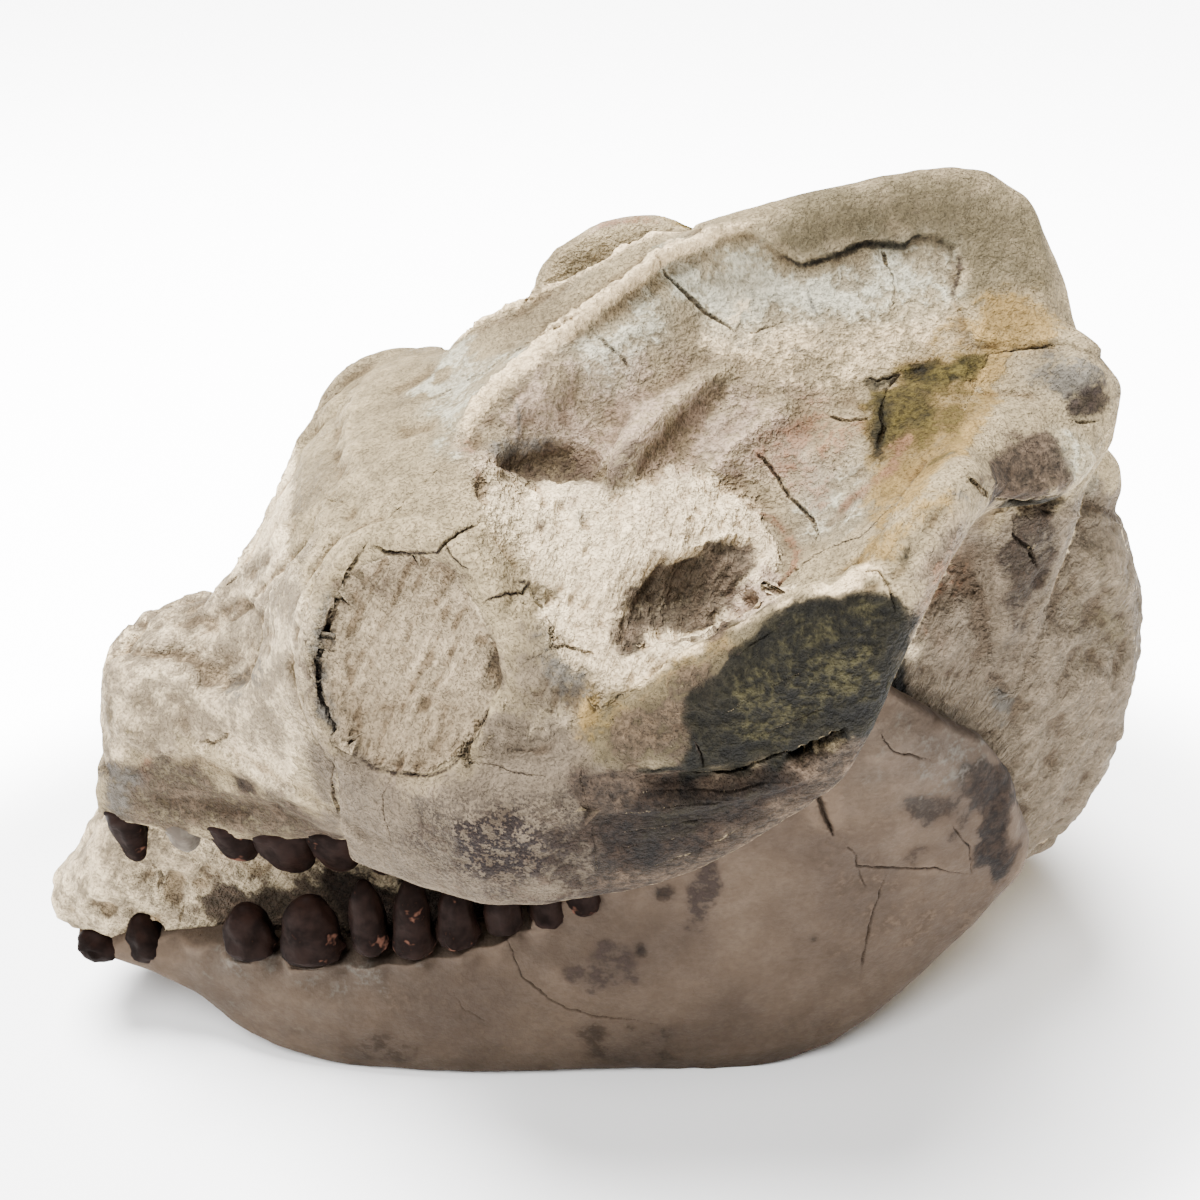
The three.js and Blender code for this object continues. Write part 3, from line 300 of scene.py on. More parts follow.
ARCH_FORMS = [
    # fold where the blade breaks off and the thin upper process goes on behind it
    Form(2.2, 1.3, [(808, 588), (836, 590), (852, 578), (870, 568), (888, 580)], True),
    Form(4.0, -2.4, [(868, 590), (905, 560), (922, 535), (945, 508)]),
    Form(5.0, -1.0, [(640, 735), (690, 725)]),
    Form(7.0, 0.8, [(720, 700), (790, 665), (850, 640)]),
    Form(1.6, 0.7, [(600, 704), (630, 690), (672, 666), (717, 642), (756, 618), (800, 596)], True),
    # strip of cheek bone under the slot
    Form(3.0, 1.2, [(620, 806), (700, 800), (770, 785), (815, 770)]),
    Form(3.0, -1.4, [(640, 778), (700, 782), (760, 772)]),
]

ARCH_PATCHES = [
    Patch(-3.4, 0.8, [(786, 756), (815, 743), (846, 729), (846, 738), (826, 752), (800, 764)]),
]

ARCH_CRACKS = [
    # fibres of the bone
    Crack(0.35, 0.3, [(608, 798), (660, 790), (720, 789)]),
    Crack(0.35, 0.3, [(612, 814), (670, 806), (735, 803)]),
    Crack(0.35, 0.3, [(608, 834), (660, 826), (712, 818)]),
    Crack(0.35, 0.3, [(612, 850), (650, 842), (692, 835)]),
    Crack(0.35, 0.3, [(600, 712), (640, 702), (690, 684)]),
    Crack(0.35, 0.3, [(730, 660), (762, 638), (790, 620)]),
    Crack(0.35, 0.3, [(720, 716), (760, 690), (810, 668)]),
    Crack(0.35, 0.3, [(740, 745), (790, 722), (840, 700)]),
    Crack(0.5, 0.5, [(582, 760), (581, 780), (591, 818), (595, 854), (599, 886)]),
    Crack(1.1, 4.5, [(637, 770), (660, 768), (680, 770), (706, 772)]),
    Crack(0.7, 2.2, [(706, 772), (734, 772), (757, 764), (785, 753), (812, 742), (846, 731)]),
    Crack(0.6, 0.7, [(860, 572), (878, 570), (890, 586), (896, 612)]),
    Crack(0.5, 0.5, [(690, 788), (730, 792), (770, 782)]),
    Crack(0.4, 0.4, [(604, 722), (630, 718), (660, 722)]),
    Crack(0.4, 0.4, [(606, 736), (640, 732), (680, 738)]),
    Crack(0.4, 0.4, [(610, 745), (650, 748), (690, 744)]),
    Crack(0.8, 1.2, [(694, 738), (700, 752), (704, 768)]),
]

ARCH_VEINS = [
    Crack(0.5, 0.2, [(640, 870), (700, 850), (745, 826), (800, 800)]),
]

ARCH_TINTS = [
    Tint("umber and shade", 2, 0.95, [(575, 775), (638, 768), (716, 770), (800, 752), (890, 712), (860, 800), (760, 860),
                            (685, 895), (590, 930)]),
    Tint("umber and shade", 3, 0.7, [(600, 745), (610, 705), (690, 668), (725, 655), (700, 770), (620, 768)]),
    Tint("olive", 5, 0.45, [(585, 735), (605, 700), (640, 690), (640, 760), (595, 755)]),
    Tint("ochre", 4, 0.35, [(575, 725), (600, 692), (650, 672), (720, 636), (735, 650), (705, 700), (695, 745),
                            (640, 765), (590, 755)]),
    Tint("khaki and shade", 2, 0.9, [(585, 735), (600, 700), (700, 652), (770, 612), (770, 700), (700, 775), (640, 772),
                           (595, 765)]),
    Tint("soot and shadow", 2, 1.0, [(690, 720), (710, 680), (760, 636), (806, 598), (840, 594), (876, 588), (912, 600),
                          (914, 650), (902, 700), (882, 732), (850, 746), (800, 756), (745, 774), (690, 776)]),
    Tint("moss", 4, 0.45, [(700, 760), (730, 690), (800, 620), (880, 600), (885, 660), (840, 715), (760, 755)]),
    Tint("ochre", 3, 0.75, [(845, 580), (866, 545), (905, 505), (950, 480), (968, 490), (930, 530), (895, 560),
                            (868, 566)]),
    Tint("soot and shadow", 2, 0.85, [(898, 560), (904, 535), (918, 520), (918, 545), (908, 566)]),
    Tint("slate", 3, 0.9, [(950, 480), (966, 472), (974, 484), (970, 504), (954, 498)]),
    Tint("silt", 4, 0.5, [(930, 540), (970, 505), (960, 535), (925, 600), (905, 650), (906, 600)]),
    Tint("brown", 3, 0.9, [(596, 806), (650, 785), (720, 784), (800, 774), (810, 786), (745, 825), (690, 855),
                            (640, 868), (600, 880)]),
    Tint("soot and shadow", 3, 0.5, [(640, 812), (700, 796), (770, 790), (740, 815), (690, 835), (640, 850)]),
]

ARCH_STAINS = [
    Stain("cream", 1.3, 0.8, [(600, 704), (672, 666), (756, 618), (800, 597)]),
    Stain("cream", 1.6, 0.9, [(812, 588), (838, 590), (852, 580), (868, 568), (884, 574)]),
    Stain("soot and shadow", 1.2, 1.0, [(637, 771), (672, 769), (706, 772)]),
    Stain("soot and shadow", 1.4, 0.9, [(785, 755), (812, 745), (842, 734)]),
    Stain("cream", 0.8, 0.6, [(600, 888), (650, 868), (700, 850), (745, 826), (800, 800)]),
]

JAW_FORMS = [
    Form(10, 0.8, [(880, 760), (930, 740)]),
    Form(12, -0.8, [(850, 880), (890, 900)]),
    Form(14, 0.6, [(560, 980), (700, 980)]),
    Form(4.0, 0.8, [(1005, 770), (1012, 820), (1005, 870)]),
    Form(7, -0.6, [(230, 960), (330, 985)]),
]

JAW_CRACKS = [
    Crack(1.4, 2.08, [(813, 783), (825, 814), (835, 840)]),
    Crack(0.84, 0.91, [(835, 840), (856, 854), (857, 866), (896, 868), (935, 868), (971, 874)]),
    Crack(0.7, 0.78, [(857, 866), (862, 880), (868, 890)]),
    Crack(0.7, 0.78, [(888, 870), (880, 893), (872, 917), (864, 957), (860, 992)]),
    Crack(0.84, 1.04, [(949, 822), (969, 846), (971, 874)]),
    Crack(0.7, 0.78, [(506, 934), (521, 975), (550, 1000), (565, 1008), (599, 1018), (659, 1024)]),
    Crack(0.56, 0.65, [(876, 727), (892, 751), (935, 761)]),
    Crack(0.56, 0.39, [(450, 985), (463, 1010), (490, 1022)]),
]

JAW_TINTS = [
    Tint("brown", 2, 1.0, [(1004, 754), (1018, 780), (1016, 838), (1002, 876), (972, 872), (986, 840),
                           (974, 808), (960, 792), (966, 768)]),
    Tint("brown", 2, 0.75, [(912, 806), (962, 798), (954, 820), (922, 828)]),
    Tint("brown", 2, 0.55, [(904, 862), (930, 836), (968, 812), (975, 830), (930, 868)]),
    Tint("plum", 2, 0.65, [(690, 850), (720, 856), (722, 884), (700, 925), (682, 925), (694, 890)]),
    Tint("plum", 2, 0.5, [(574, 980), (590, 940), (612, 930), (630, 960), (646, 985), (600, 990)]),
    Tint("umber and shade", 12, 0.3, [(820, 850), (860, 800), (900, 790), (900, 870), (860, 960), (800, 950)]),
    Tint("umber and shade", 14, 0.25, [(300, 980), (460, 960), (620, 1000), (600, 1030), (360, 1030)]),
    Tint("slate", 10, 0.4, [(180, 950), (300, 958), (420, 965), (380, 985), (260, 1000), (200, 985)]),
    Tint("umber and shade", 9, 0.5, [(880, 880), (990, 880), (1000, 905), (930, 960), (880, 960)]),
    Tint("slate", 8, 0.35, [(880, 720), (950, 710), (990, 740), (960, 790), (890, 780)]),
    Tint("brown", 5, 0.6, [(590, 1044), (620, 1034), (668, 1032), (660, 1052), (600, 1058)]),
    Tint("brown", 5, 0.45, [(350, 1042), (390, 1034), (424, 1040), (410, 1054), (360, 1054)]),
    # painted contact shadow along the lower edge of the jaw, where it rests on the floor
    Tint("umber and shade", 9, 0.6, [(250, 1045), (400, 1060), (650, 1062), (850, 1040), (900, 1010), (880, 1060),
                           (600, 1100), (280, 1075)]),
]

JAW_STAINS = [
    Stain("brown", 2.0, 0.95, [(657, 894), (669, 892)]),
    Stain("brown", 1.5, 0.9, [(641, 944), (641, 956)]),
    Stain("brown", 1.2, 0.8, [(810, 940), (816, 938)]),
]

TEMPLE_PATCHES = [
    Patch(-1.2, 1.6, [(614, 640), (620, 612), (642, 590), (660, 566), (690, 556), (706, 546), (735, 540),
                      (757, 538), (764, 552), (755, 572), (735, 592), (720, 606), (715, 630), (695, 640),
                      (664, 640), (640, 648), (622, 650)]),
    Patch(1.0, 4.0, [(524, 560), (530, 585), (548, 622), (560, 650), (580, 680), (520, 690), (512, 620)]),
]

TEMPLE_FORMS = [
    Form(2.0, 0.9, [(660, 556), (700, 546), (735, 534), (762, 536)], True),
    Form(9.0, 0.8, [(560, 540), (620, 530), (690, 512)]),
    Form(7.0, -0.8, [(560, 590), (590, 620)]),
    Form(5.0, -1.2, [(730, 620), (765, 590), (785, 565)]),
]

TEMPLE_CRACKS = [
    Crack(0.7, 0.9, [(528, 583), (546, 616), (552, 626), (555, 640), (548, 650)]),
    Crack(0.5, 0.6, [(545, 648), (566, 645), (600, 655)]),
]

TEMPLE_TINTS = [
    Tint("umber and shade", 2, 0.84, [(612, 642), (618, 610), (642, 588), (660, 564), (690, 556), (706, 546), (735, 540),
                             (757, 538), (764, 552), (750, 575), (735, 592), (720, 606), (715, 630),
                             (695, 640), (664, 640), (640, 648), (622, 652)]),
    Tint("brown", 3.5, 0.25, [(650, 600), (690, 566), (750, 545), (740, 575), (710, 600), (690, 625), (655, 630)]),
    Tint("rose", 3, 0.8, [(735, 595), (755, 575), (770, 555), (775, 585), (760, 612), (735, 625)]),
    Tint("bone", 4, 1.0, [(505, 560), (528, 585), (546, 618), (556, 645), (580, 680), (600, 720), (505, 720)]),
    Tint("slate", 3, 0.6, [(556, 655), (575, 670), (590, 690), (570, 700), (554, 680)]),
]

TEMPLE_STAINS = [
    Stain("rust", 0.9, 0.8, [(745, 503), (773, 520), (787, 534), (797, 551), (794, 568), (775, 590)]),
    Stain("slate", 1.4, 0.6, [(575, 514), (586, 518)]),
    Stain("umber and shade", 1.4, 0.5, [(538, 526), (552, 530)]),
]

SOCKET_FORMS = [
    Form(5.0, -1.0, [(350, 606), (380, 578), (430, 568), (460, 580)]),
    Form(3.0, 1.3, [(472, 620), (480, 650), (484, 685)], True),
    Form(3.0, -1.5, [(488, 640), (492, 690)]),
    Form(7.0, 0.8, [(390, 650), (430, 640)]),
    Form(5.0, -0.7, [(345, 690), (375, 722)]),
    Form(6.0, 0.7, [(395, 745), (440, 735)]),
    Form(4.0, -0.6, [(420, 690), (460, 700)]),
    Form(3.0, 0.9, [(336, 620), (330, 660), (338, 705), (352, 736)]),
]

SOCKET_TINTS = [
    # painted shade at the top of the socket fill, under the rim
    Tint("umber and shade", 5, 0.5, [(345, 600), (372, 558), (440, 552), (462, 575), (400, 575), (360, 598)]),
    Tint("umber and shade", 4, 0.35, [(488, 620), (500, 660), (496, 700), (484, 690), (484, 650)]),
]

NOSE_FORMS = [
    Form(8.0, -1.0, [(150, 690), (185, 715)]),
    Form(6.0, 0.9, [(130, 640), (170, 625)]),
    Form(6.0, -0.8, [(200, 650), (240, 660)]),
    Form(5.0, 0.8, [(120, 720), (140, 735)]),
]

NOSE_TINTS = [
    Tint("sand and shade", 5, 0.62, [(60, 580), (200, 590), (310, 520), (310, 760), (200, 748), (60, 780)]),
    Tint("umber and shade", 6, 0.35, [(104, 650), (125, 640), (130, 690), (106, 700)]),
    Tint("olive", 4, 0.3, [(115, 710), (140, 700), (135, 735), (116, 740)]),
    Tint("slate", 3, 0.4, [(225, 690), (250, 660), (272, 652), (262, 672), (240, 700)]),
]

MOUTH_FORMS = [
    Form(4.0, -1.2, [(170, 880), (180, 905)]),
    Form(4.0, 1.0, [(120, 880), (140, 900)]),
    Form(3.0, -1.2, [(90, 905), (110, 915)]),
    Form(4.0, 0.9, [(230, 880), (270, 885)]),
    Form(3.5, -0.9, [(205, 865), (200, 890)]),
]

MOUTH_CRACKS = [
    Crack(0.7, 0.9, [(184, 900), (180, 925), (177, 949)]),
    Crack(0.5, 0.6, [(150, 862), (162, 880), (158, 900)]),
]

MOUTH_TINTS = [
    Tint("sand and shade", 4, 0.5, [(20, 800), (560, 800), (560, 980), (20, 980)]),
    Tint("olive", 5, 0.12, [(60, 880), (110, 850), (200, 870), (200, 900), (120, 920), (64, 930)]),
    Tint("umber and shade", 3, 0.9, [(196, 890), (330, 880), (430, 870), (540, 900), (540, 960), (280, 940), (196, 930)]),
    Tint("brown", 3, 0.8, [(330, 870), (440, 880), (540, 905), (540, 960), (340, 940)]),
]

NAPE_FORMS = [
    Form(6.0, -1.8, [(1000, 690), (1030, 640), (1046, 580)]),
    Form(10.0, 1.3, [(1090, 540), (1125, 590)]),
    Form(9.0, -1.5, [(1050, 580), (1110, 640), (1130, 660)]),
    Form(8.0, -1.2, [(1060, 720), (1080, 800)]),
    Form(1.6, 1.2, [(1062, 516), (1100, 520), (1136, 536)], True),
]

NAPE_TINTS = [
    # painted shade on the pale sediment of the nape, darkened all over
    Tint("sand and shade", 4, 0.9, [(880, 690), (930, 540), (1000, 500), (1150, 480), (1180, 700), (1100, 900), (1000, 900)]),
    Tint("rust", 5, 0.55, [(920, 600), (935, 560), (960, 548), (965, 575), (940, 600), (925, 640)]),
    Tint("rose", 8, 0.6, [(905, 650), (960, 520), (1005, 515), (1010, 600), (995, 690), (940, 690)]),
    # painted shade along the broad hollow across the nape
    Tint("khaki and shade", 9, 0.35, [(1045, 600), (1100, 570), (1145, 590), (1140, 650), (1080, 660)]),
    Tint("slate", 2.5, 0.7, [(984, 690), (996, 690), (1004, 708), (994, 712)]),
]

# Teeth from front to back: x, distance from the midline and height of the crown's foot, then the
# crown's length, height and backward lean. Dark ones are blackened, the pale one is not.
Tooth = namedtuple("Tooth", "x y z length height lean")
UPPER_TEETH = [
    Tooth(-84.6, 8.9, 54.2, 7.2, 12.4, 0.05),
    Tooth(-65.8, 15.4, 53.8, 9.2, 9.4, 0.34),
    Tooth(-57.0, 18.2, 52.6, 11.6, 9.6, 0.30),
    Tooth(-47.6, 21.4, 54.2, 10.4, 9.4, 0.16),
    Tooth(-39.6, 24.4, 54.4, 8.6, 9.0, 0.10),
    Tooth(-34.0, 26.1, 57.6, 6.4, 10.0, 0.0),
    Tooth(-28.0, 28.0, 59.6, 7.4, 9.6, 0.0),
    Tooth(-21.5, 29.7, 62.0, 7.4, 9.4, 0.0),
    Tooth(-15.2, 30.8, 64.2, 6.9, 9.0, 0.0),
    Tooth(-9.2, 31.2, 66.4, 6.9, 8.8, 0.0),
]
PALE_TEETH = [
    Tooth(-74.6, 12.6, 52.9, 6.4, 6.6, 0.14),
]
LOWER_TEETH = [
    Tooth(-95.0, 8.4, 21.6, 8.8, 4.0, -0.2),
    Tooth(-86.0, 11.0, 22.4, 7.3, 7.6, -0.16),
    Tooth(-65.4, 21.0, 29.6, 9.6, 9.3, 0.0),
    Tooth(-54.0, 25.2, 30.4, 11.7, 12.8, 0.06),
    Tooth(-43.3, 28.6, 34.6, 7.1, 13.7, -0.04),
    Tooth(-35.6, 30.8, 34.8, 7.9, 14.3, 0.06),
    Tooth(-27.8, 32.6, 37.6, 7.7, 11.1, 0.06),
    Tooth(-19.6, 34.4, 41.4, 7.1, 7.9, 0.06),
    Tooth(-12.0, 34.8, 42.0, 6.8, 7.2, 0.0),
    Tooth(-5.7, 35.8, 45.0, 6.8, 7.2, 0.0),
]
UPPER_CROWN_WIDTH = 7.6
LOWER_CROWN_WIDTH = 7.4
TOOTH_ROOT = 3.6

# Edge of the bone along the tooth rows: (x, height) from front to back.
UPPER_GUM = [(-87, 55.5), (-76.5, 53), (-64.5, 52.5), (-55.5, 53), (-46.5, 55), (-31.5, 58), (-20.5, 62), (-9.5, 66)]
LOWER_GUM = [(-99.5, 24), (-84.5, 24.3), (-71.5, 25.3), (-50.5, 26), (-32.5, 30), (-16.5, 37), (-0.5, 50)]


# Drawing on the surface

def sight(pixel):
    """The direction in which the camera sees a pixel."""
    right = (pixel[0] - PICTURE / 2) / FOCAL
    down = (pixel[1] - PICTURE / 2) / FOCAL
    return (ACROSS * right - UPWARD * down - BACKWARD).normalized()


def seen_at(points):
    """The pixels at which the camera sees points."""
    rays = points - np.array(EYE)
    ahead = rays @ -np.array(BACKWARD)
    right = FOCAL * (rays @ np.array(ACROSS)) / ahead
    up = FOCAL * (rays @ np.array(UPWARD)) / ahead
    return np.stack([PICTURE / 2 + right, PICTURE / 2 - up], axis=1)


def along(pixels, step):
    """Pixels a step apart along a line."""
    spots = [Vector(pixels[0])]
    for start, end in zip(pixels, pixels[1:]):
        start, end = Vector(start), Vector(end)
        count = max(1, round((end - start).length / step))
        spots += [start.lerp(end, (i + 1) / count) for i in range(count)]
    return spots


def laid_on(tree, pixels, step=4.0, wander=0.0):
    """The points of a surface that the camera sees along a line, which may wander a little."""
    points = []
    for spot in along(pixels, step):
        if wander:
            shake = noise.noise_vector(Vector((spot.x, spot.y, 0.0)) * 0.14)
            spot = spot + Vector((shake.x, shake.y)) * wander
        hit = tree.ray_cast(EYE, sight(spot))[0]
        if hit is not None:
            points.append(hit)
    return points


def apart(path, points, reach, taper=0.0):
    """How far each point is from a path, in metres. Beyond the reach it is infinite.
    With a taper, the path counts as further away towards its ends, by up to that much."""
    gaps = np.full(len(points), np.inf)
    if not len(path):
        return gaps
    path = np.array(path)
    near = np.all((points > path.min(0) - reach) & (points < path.max(0) + reach), axis=1)
    near = np.flatnonzero(near)
    chosen = points[near]
    least = np.full(len(near), np.inf)
    for i, spot in enumerate(path):
        end = abs(2.0 * i / max(len(path) - 1, 1) - 1.0) ** 4
        gap = np.sqrt(((chosen - spot) ** 2).sum(1)) + end * taper
        least = np.minimum(least, gap)
    gaps[near] = least
    return gaps


def inside(outline, pixels):
    """How many pixels each place is inside an outline. Outside it is negative."""
    corners = np.array(outline, float)
    least = np.full(len(pixels), np.inf)
    within = np.zeros(len(pixels), bool)
    for start, end in zip(corners, np.roll(corners, -1, axis=0)):
        edge = end - start
        offset = pixels - start
        share = np.clip(offset @ edge / (edge @ edge), 0.0, 1.0)
        least = np.minimum(least, np.linalg.norm(offset - share[:, None] * edge, axis=1))
        crossing = (offset[:, 1] < 0.0) != (pixels[:, 1] < end[1])
        rise = edge[1] if edge[1] else 1e-9
        within ^= crossing & (offset[:, 0] < edge[0] * offset[:, 1] / rise)
    return np.where(within, least, -least)


def lattice(places, seed):
    """Smooth random values from -1 to 1, one for each corner of a unit grid."""
    cell = np.floor(places).astype(np.int64)
    blend = places - cell
    blend = blend * blend * (3.0 - 2.0 * blend)
    total = np.zeros(len(places))
    for corner in range(8):
        step = np.array([corner & 1, corner >> 1 & 1, corner >> 2 & 1])
        x, y, z = (cell + step).T
        code = x * 73856093 ^ y * 19349663 ^ z * 83492791 ^ seed * 40503
        code = (code ^ code >> 13) * 1274126177 & 0x7FFFFFFF
        code = code ^ code >> 16
        weight = np.prod(np.where(step, blend, 1.0 - blend), axis=1)
        total += ((code & 0xFFFF) / 32767.5 - 1.0) * weight
    return total


def ragged(points, size, seed, stretch=(1.0, 1.0, 1.0)):
    """Uneven values from about -1 to 1, in lumps of a size in millimetres."""
    places = points / (np.array(stretch) * size * MM)
    return sum(lattice(places * 2.0 ** k, seed * 7 + k) / 2.0 ** k for k in range(3)) / 1.3


def ramp(values):
    values = np.clip(values, 0.0, 1.0)
    return values * values * (3.0 - 2.0 * values)


# Modelling

class Skin:
    """The surface of a piece while it is carved and stained. Its right side is viewed as if it
    were on the left, a little shifted, so that marks drawn on the left fall on both."""

    def __init__(self, piece):
        self.piece = piece
        self.masks = {}
        self.read()

    def read(self):
        mesh = self.piece.data
        mesh.update()
        self.points = np.zeros(len(mesh.vertices) * 3, np.float32)
        self.normals = np.zeros(len(mesh.vertices) * 3, np.float32)
        mesh.vertices.foreach_get("co", self.points)
        mesh.vertex_normals.foreach_get("vector", self.normals)
        self.points = self.points.reshape(-1, 3).astype(float)
        self.normals = self.normals.reshape(-1, 3).astype(float)
        self.left = self.points[:, 1] < 0.0
        self.view = self.points.copy()
        self.view[~self.left, 1] *= -1.0
        for axis in (0, 2):
            shift = ragged(self.points[~self.left], 14.0, 70 + axis) * 2.5 * MM
            self.view[~self.left, axis] += shift
        self.pixels = seen_at(self.view)

    def write(self):
        self.piece.data.vertices.foreach_set("co", self.points.astype(np.float32).ravel())
        self.read()

    def edges(self):
        ends = np.zeros(len(self.piece.data.edges) * 2, np.int32)
        self.piece.data.edges.foreach_get("vertices", ends)
        return ends.reshape(-1, 2)

    def look(self):
        """Finds what the camera sees. Returns the surface for laying lines on it."""
        faces = [tuple(face.vertices) for face in self.piece.data.polygons]
        if self.left.any():
            faces = [face for face in faces if self.left[face[0]]]
        tree = BVHTree.FromPolygons([Vector(p) for p in self.view], faces)
        facing = self.normals.copy()
        facing[~self.left, 1] *= -1.0
        rays = np.array(EYE) - self.view
        rays /= np.linalg.norm(rays, axis=1)[:, None]
        self.seen = (rays * facing).sum(1) > 0.0
        starts = self.view + rays * CLEARANCE * MM
        for i in np.flatnonzero(self.seen):
            if tree.ray_cast(Vector(starts[i]), Vector(rays[i]))[0] is not None:
                self.seen[i] = False
        return tree

    def push(self, heights):
        self.points += self.normals * heights[:, None]

    def within(self, outline, edge, tear=None, through=False):
        """1 inside an outline in the picture, falling to 0 across its edge, which may be torn."""
        amount = np.zeros(len(self.points))
        corners = np.array(outline)
        margin = edge * PIXELS_PER_MM
        near = np.all((self.pixels > corners.min(0) - margin)
                      & (self.pixels < corners.max(0) + margin), axis=1)
        near &= self.seen | through
        depth = inside(outline, self.pixels[near]) / margin
        if tear is not None:
            depth += 0.35 * tear[near]
        amount[near] = ramp(0.5 + depth)
        return amount

    def mark(self, name, values):
        before = self.masks.get(name, np.zeros(len(self.points)))
        self.masks[name] = np.maximum(before, values)

    def keep_marks(self):
        mesh = self.piece.data
        for name, values in self.masks.items():
            layer = mesh.attributes.new(name, "FLOAT", "POINT")
            layer.data.foreach_set("value", np.clip(values, 0.0, 1.0).astype(np.float32))


def fused(name, nodes, grain, smoothing):
    """One closed skin over several CAD nodes, evenly meshed and with its facets smoothed away.
    It is swollen at first, so that it runs over the joints between them."""
    bm = bmesh.new()
    for node in nodes:
        bm.from_mesh(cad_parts[node].data)
    bmesh.ops.remove_doubles(bm, verts=bm.verts, dist=1e-6)
    bm.normal_update()
    for vert in bm.verts:
        vert.co += vert.normal * (SWELL * MM * min(vert.calc_shell_factor(), 2.0))
    mesh = bpy.data.meshes.new(name)
    bm.to_mesh(mesh)
    bm.free()
    piece = bpy.data.objects.new(name, mesh)
    bpy.context.scene.collection.objects.link(piece)
    modifier = piece.modifiers.new("even mesh", "REMESH")
    modifier.mode = "VOXEL"
    modifier.voxel_size = grain * MM
    finish_modifier(piece, modifier)
    reshape(piece, lambda made: smooth(made, smoothing))
    skin = Skin(piece)
    skin.push(np.full(len(skin.points), -SHRINK * MM))
    skin.write()
    return piece


def finish_modifier(piece, modifier):
    seen = piece.evaluated_get(bpy.context.evaluated_depsgraph_get())
    mesh = bpy.data.meshes.new_from_object(seen)
    before = piece.data
    piece.modifiers.remove(modifier)
    piece.data = mesh
    mesh.name = piece.name
    bpy.data.meshes.remove(before)


def reshape(piece, work):
    bm = bmesh.new()
    bm.from_mesh(piece.data)
    work(bm)
    bm.to_mesh(piece.data)
    bm.free()


def smooth(bm, rounds):
    for _ in range(rounds):
        bmesh.ops.smooth_vert(
            bm, verts=bm.verts, factor=0.5, use_axis_x=True, use_axis_y=True, use_axis_z=True
        )


def level_gum(piece, line, upward):
    """Takes the tooth bumps off the edge of a jaw, which gets teeth of its own."""
    skin = Skin(piece)
    places, heights = np.array(line).T * MM
    x, y, z = skin.points.T
    over = (z - np.interp(x, places, heights)) * (1.0 if upward else -1.0) - 0.4 * MM
    bump = (over > 0.0) & (x > places[0] - 2.0 * MM) & (x < places[-1]) & (abs(y) < GUM_REACH * MM)
    skin.points[bump, 2] -= over[bump] * (0.95 if upward else -0.95)
    skin.write()


def press_nose(piece):
    """Takes back the front of the nose, which is broken off flat."""
    skin = Skin(piece)
    x, _, z = skin.points.T
    front = (x < NOSE_FLAT * MM) & (z > NOSE_FOOT * MM)
    skin.points[front, 0] += (NOSE_FLAT * MM - x[front]) * 0.4
    skin.write()


def draw_taut(piece, areas):
    """Draws areas taut between their borders, like a sheet."""
    skin = Skin(piece)
    skin.look()
    ends = skin.edges()
    for area in areas:
        weight = skin.within(area.pixels, area.edge)
        chosen = ends[(weight[ends] > 0.0).any(axis=1)]
        spots, local = np.unique(chosen, return_inverse=True)
        local = local.reshape(-1, 2)
        points = skin.points[spots]
        share = weight[spots, None]
        fans = np.bincount(local.ravel(), minlength=len(spots))[:, None]
        for _ in range(area.rounds):
            middle = np.zeros_like(points)
            for axis in range(3):
                middle[:, axis] += np.bincount(local[:, 0], points[local[:, 1], axis], len(spots))
                middle[:, axis] += np.bincount(local[:, 1], points[local[:, 0], axis], len(spots))
            points = points + (middle / fans - points) * share
        skin.points[spots] = points
    skin.write()


def refine(piece, paths, reach):
    """Splits the edges that lie near some lines, so that they can be cut finely."""
    skin = Skin(piece)
    near = np.zeros(len(skin.points), bool)
    for path in paths:
        near |= apart(path, skin.view, reach) < reach

    def split(bm):
        bm.verts.ensure_lookup_table()
        edges = [e for e in bm.edges if near[e.verts[0].index] and near[e.verts[1].index]]
        bmesh.ops.subdivide_edges(bm, edges=edges, cuts=1, use_grid_fill=True)
        bmesh.ops.triangulate(bm, faces=[f for f in bm.faces if len(f.verts) > 4])

    reshape(piece, split)


def refine_areas(piece, outlines):
    """Splits the edges inside outlines, so that rough stone can be carved there."""
    skin = Skin(piece)
    skin.look()
    chosen = np.zeros(len(skin.points), bool)
    for outline in outlines:
        chosen |= skin.within(outline, 1.0) > 0.5

    def split(bm):
        edges = [e for e in bm.edges if chosen[e.verts[0].index] and chosen[e.verts[1].index]]
        bmesh.ops.subdivide_edges(bm, edges=edges, cuts=1, use_grid_fill=True)
        bmesh.ops.triangulate(bm, faces=[f for f in bm.faces if len(f.verts) > 4])

    reshape(piece, split)


def thin_out(piece, most=MOST_TRIANGLES):
    """Takes faces out of the flatter parts until the piece is light enough."""
    reshape(piece, lambda bm: bmesh.ops.triangulate(bm, faces=bm.faces))
    count = len(piece.data.polygons)
    if count <= most:
        return
    modifier = piece.modifiers.new("lighter", "DECIMATE")
    modifier.ratio = most / count
    finish_modifier(piece, modifier)


Marks = namedtuple("Marks", "forms patches cracks veins tints stains", defaults=[(), (), (), (), (), ()])


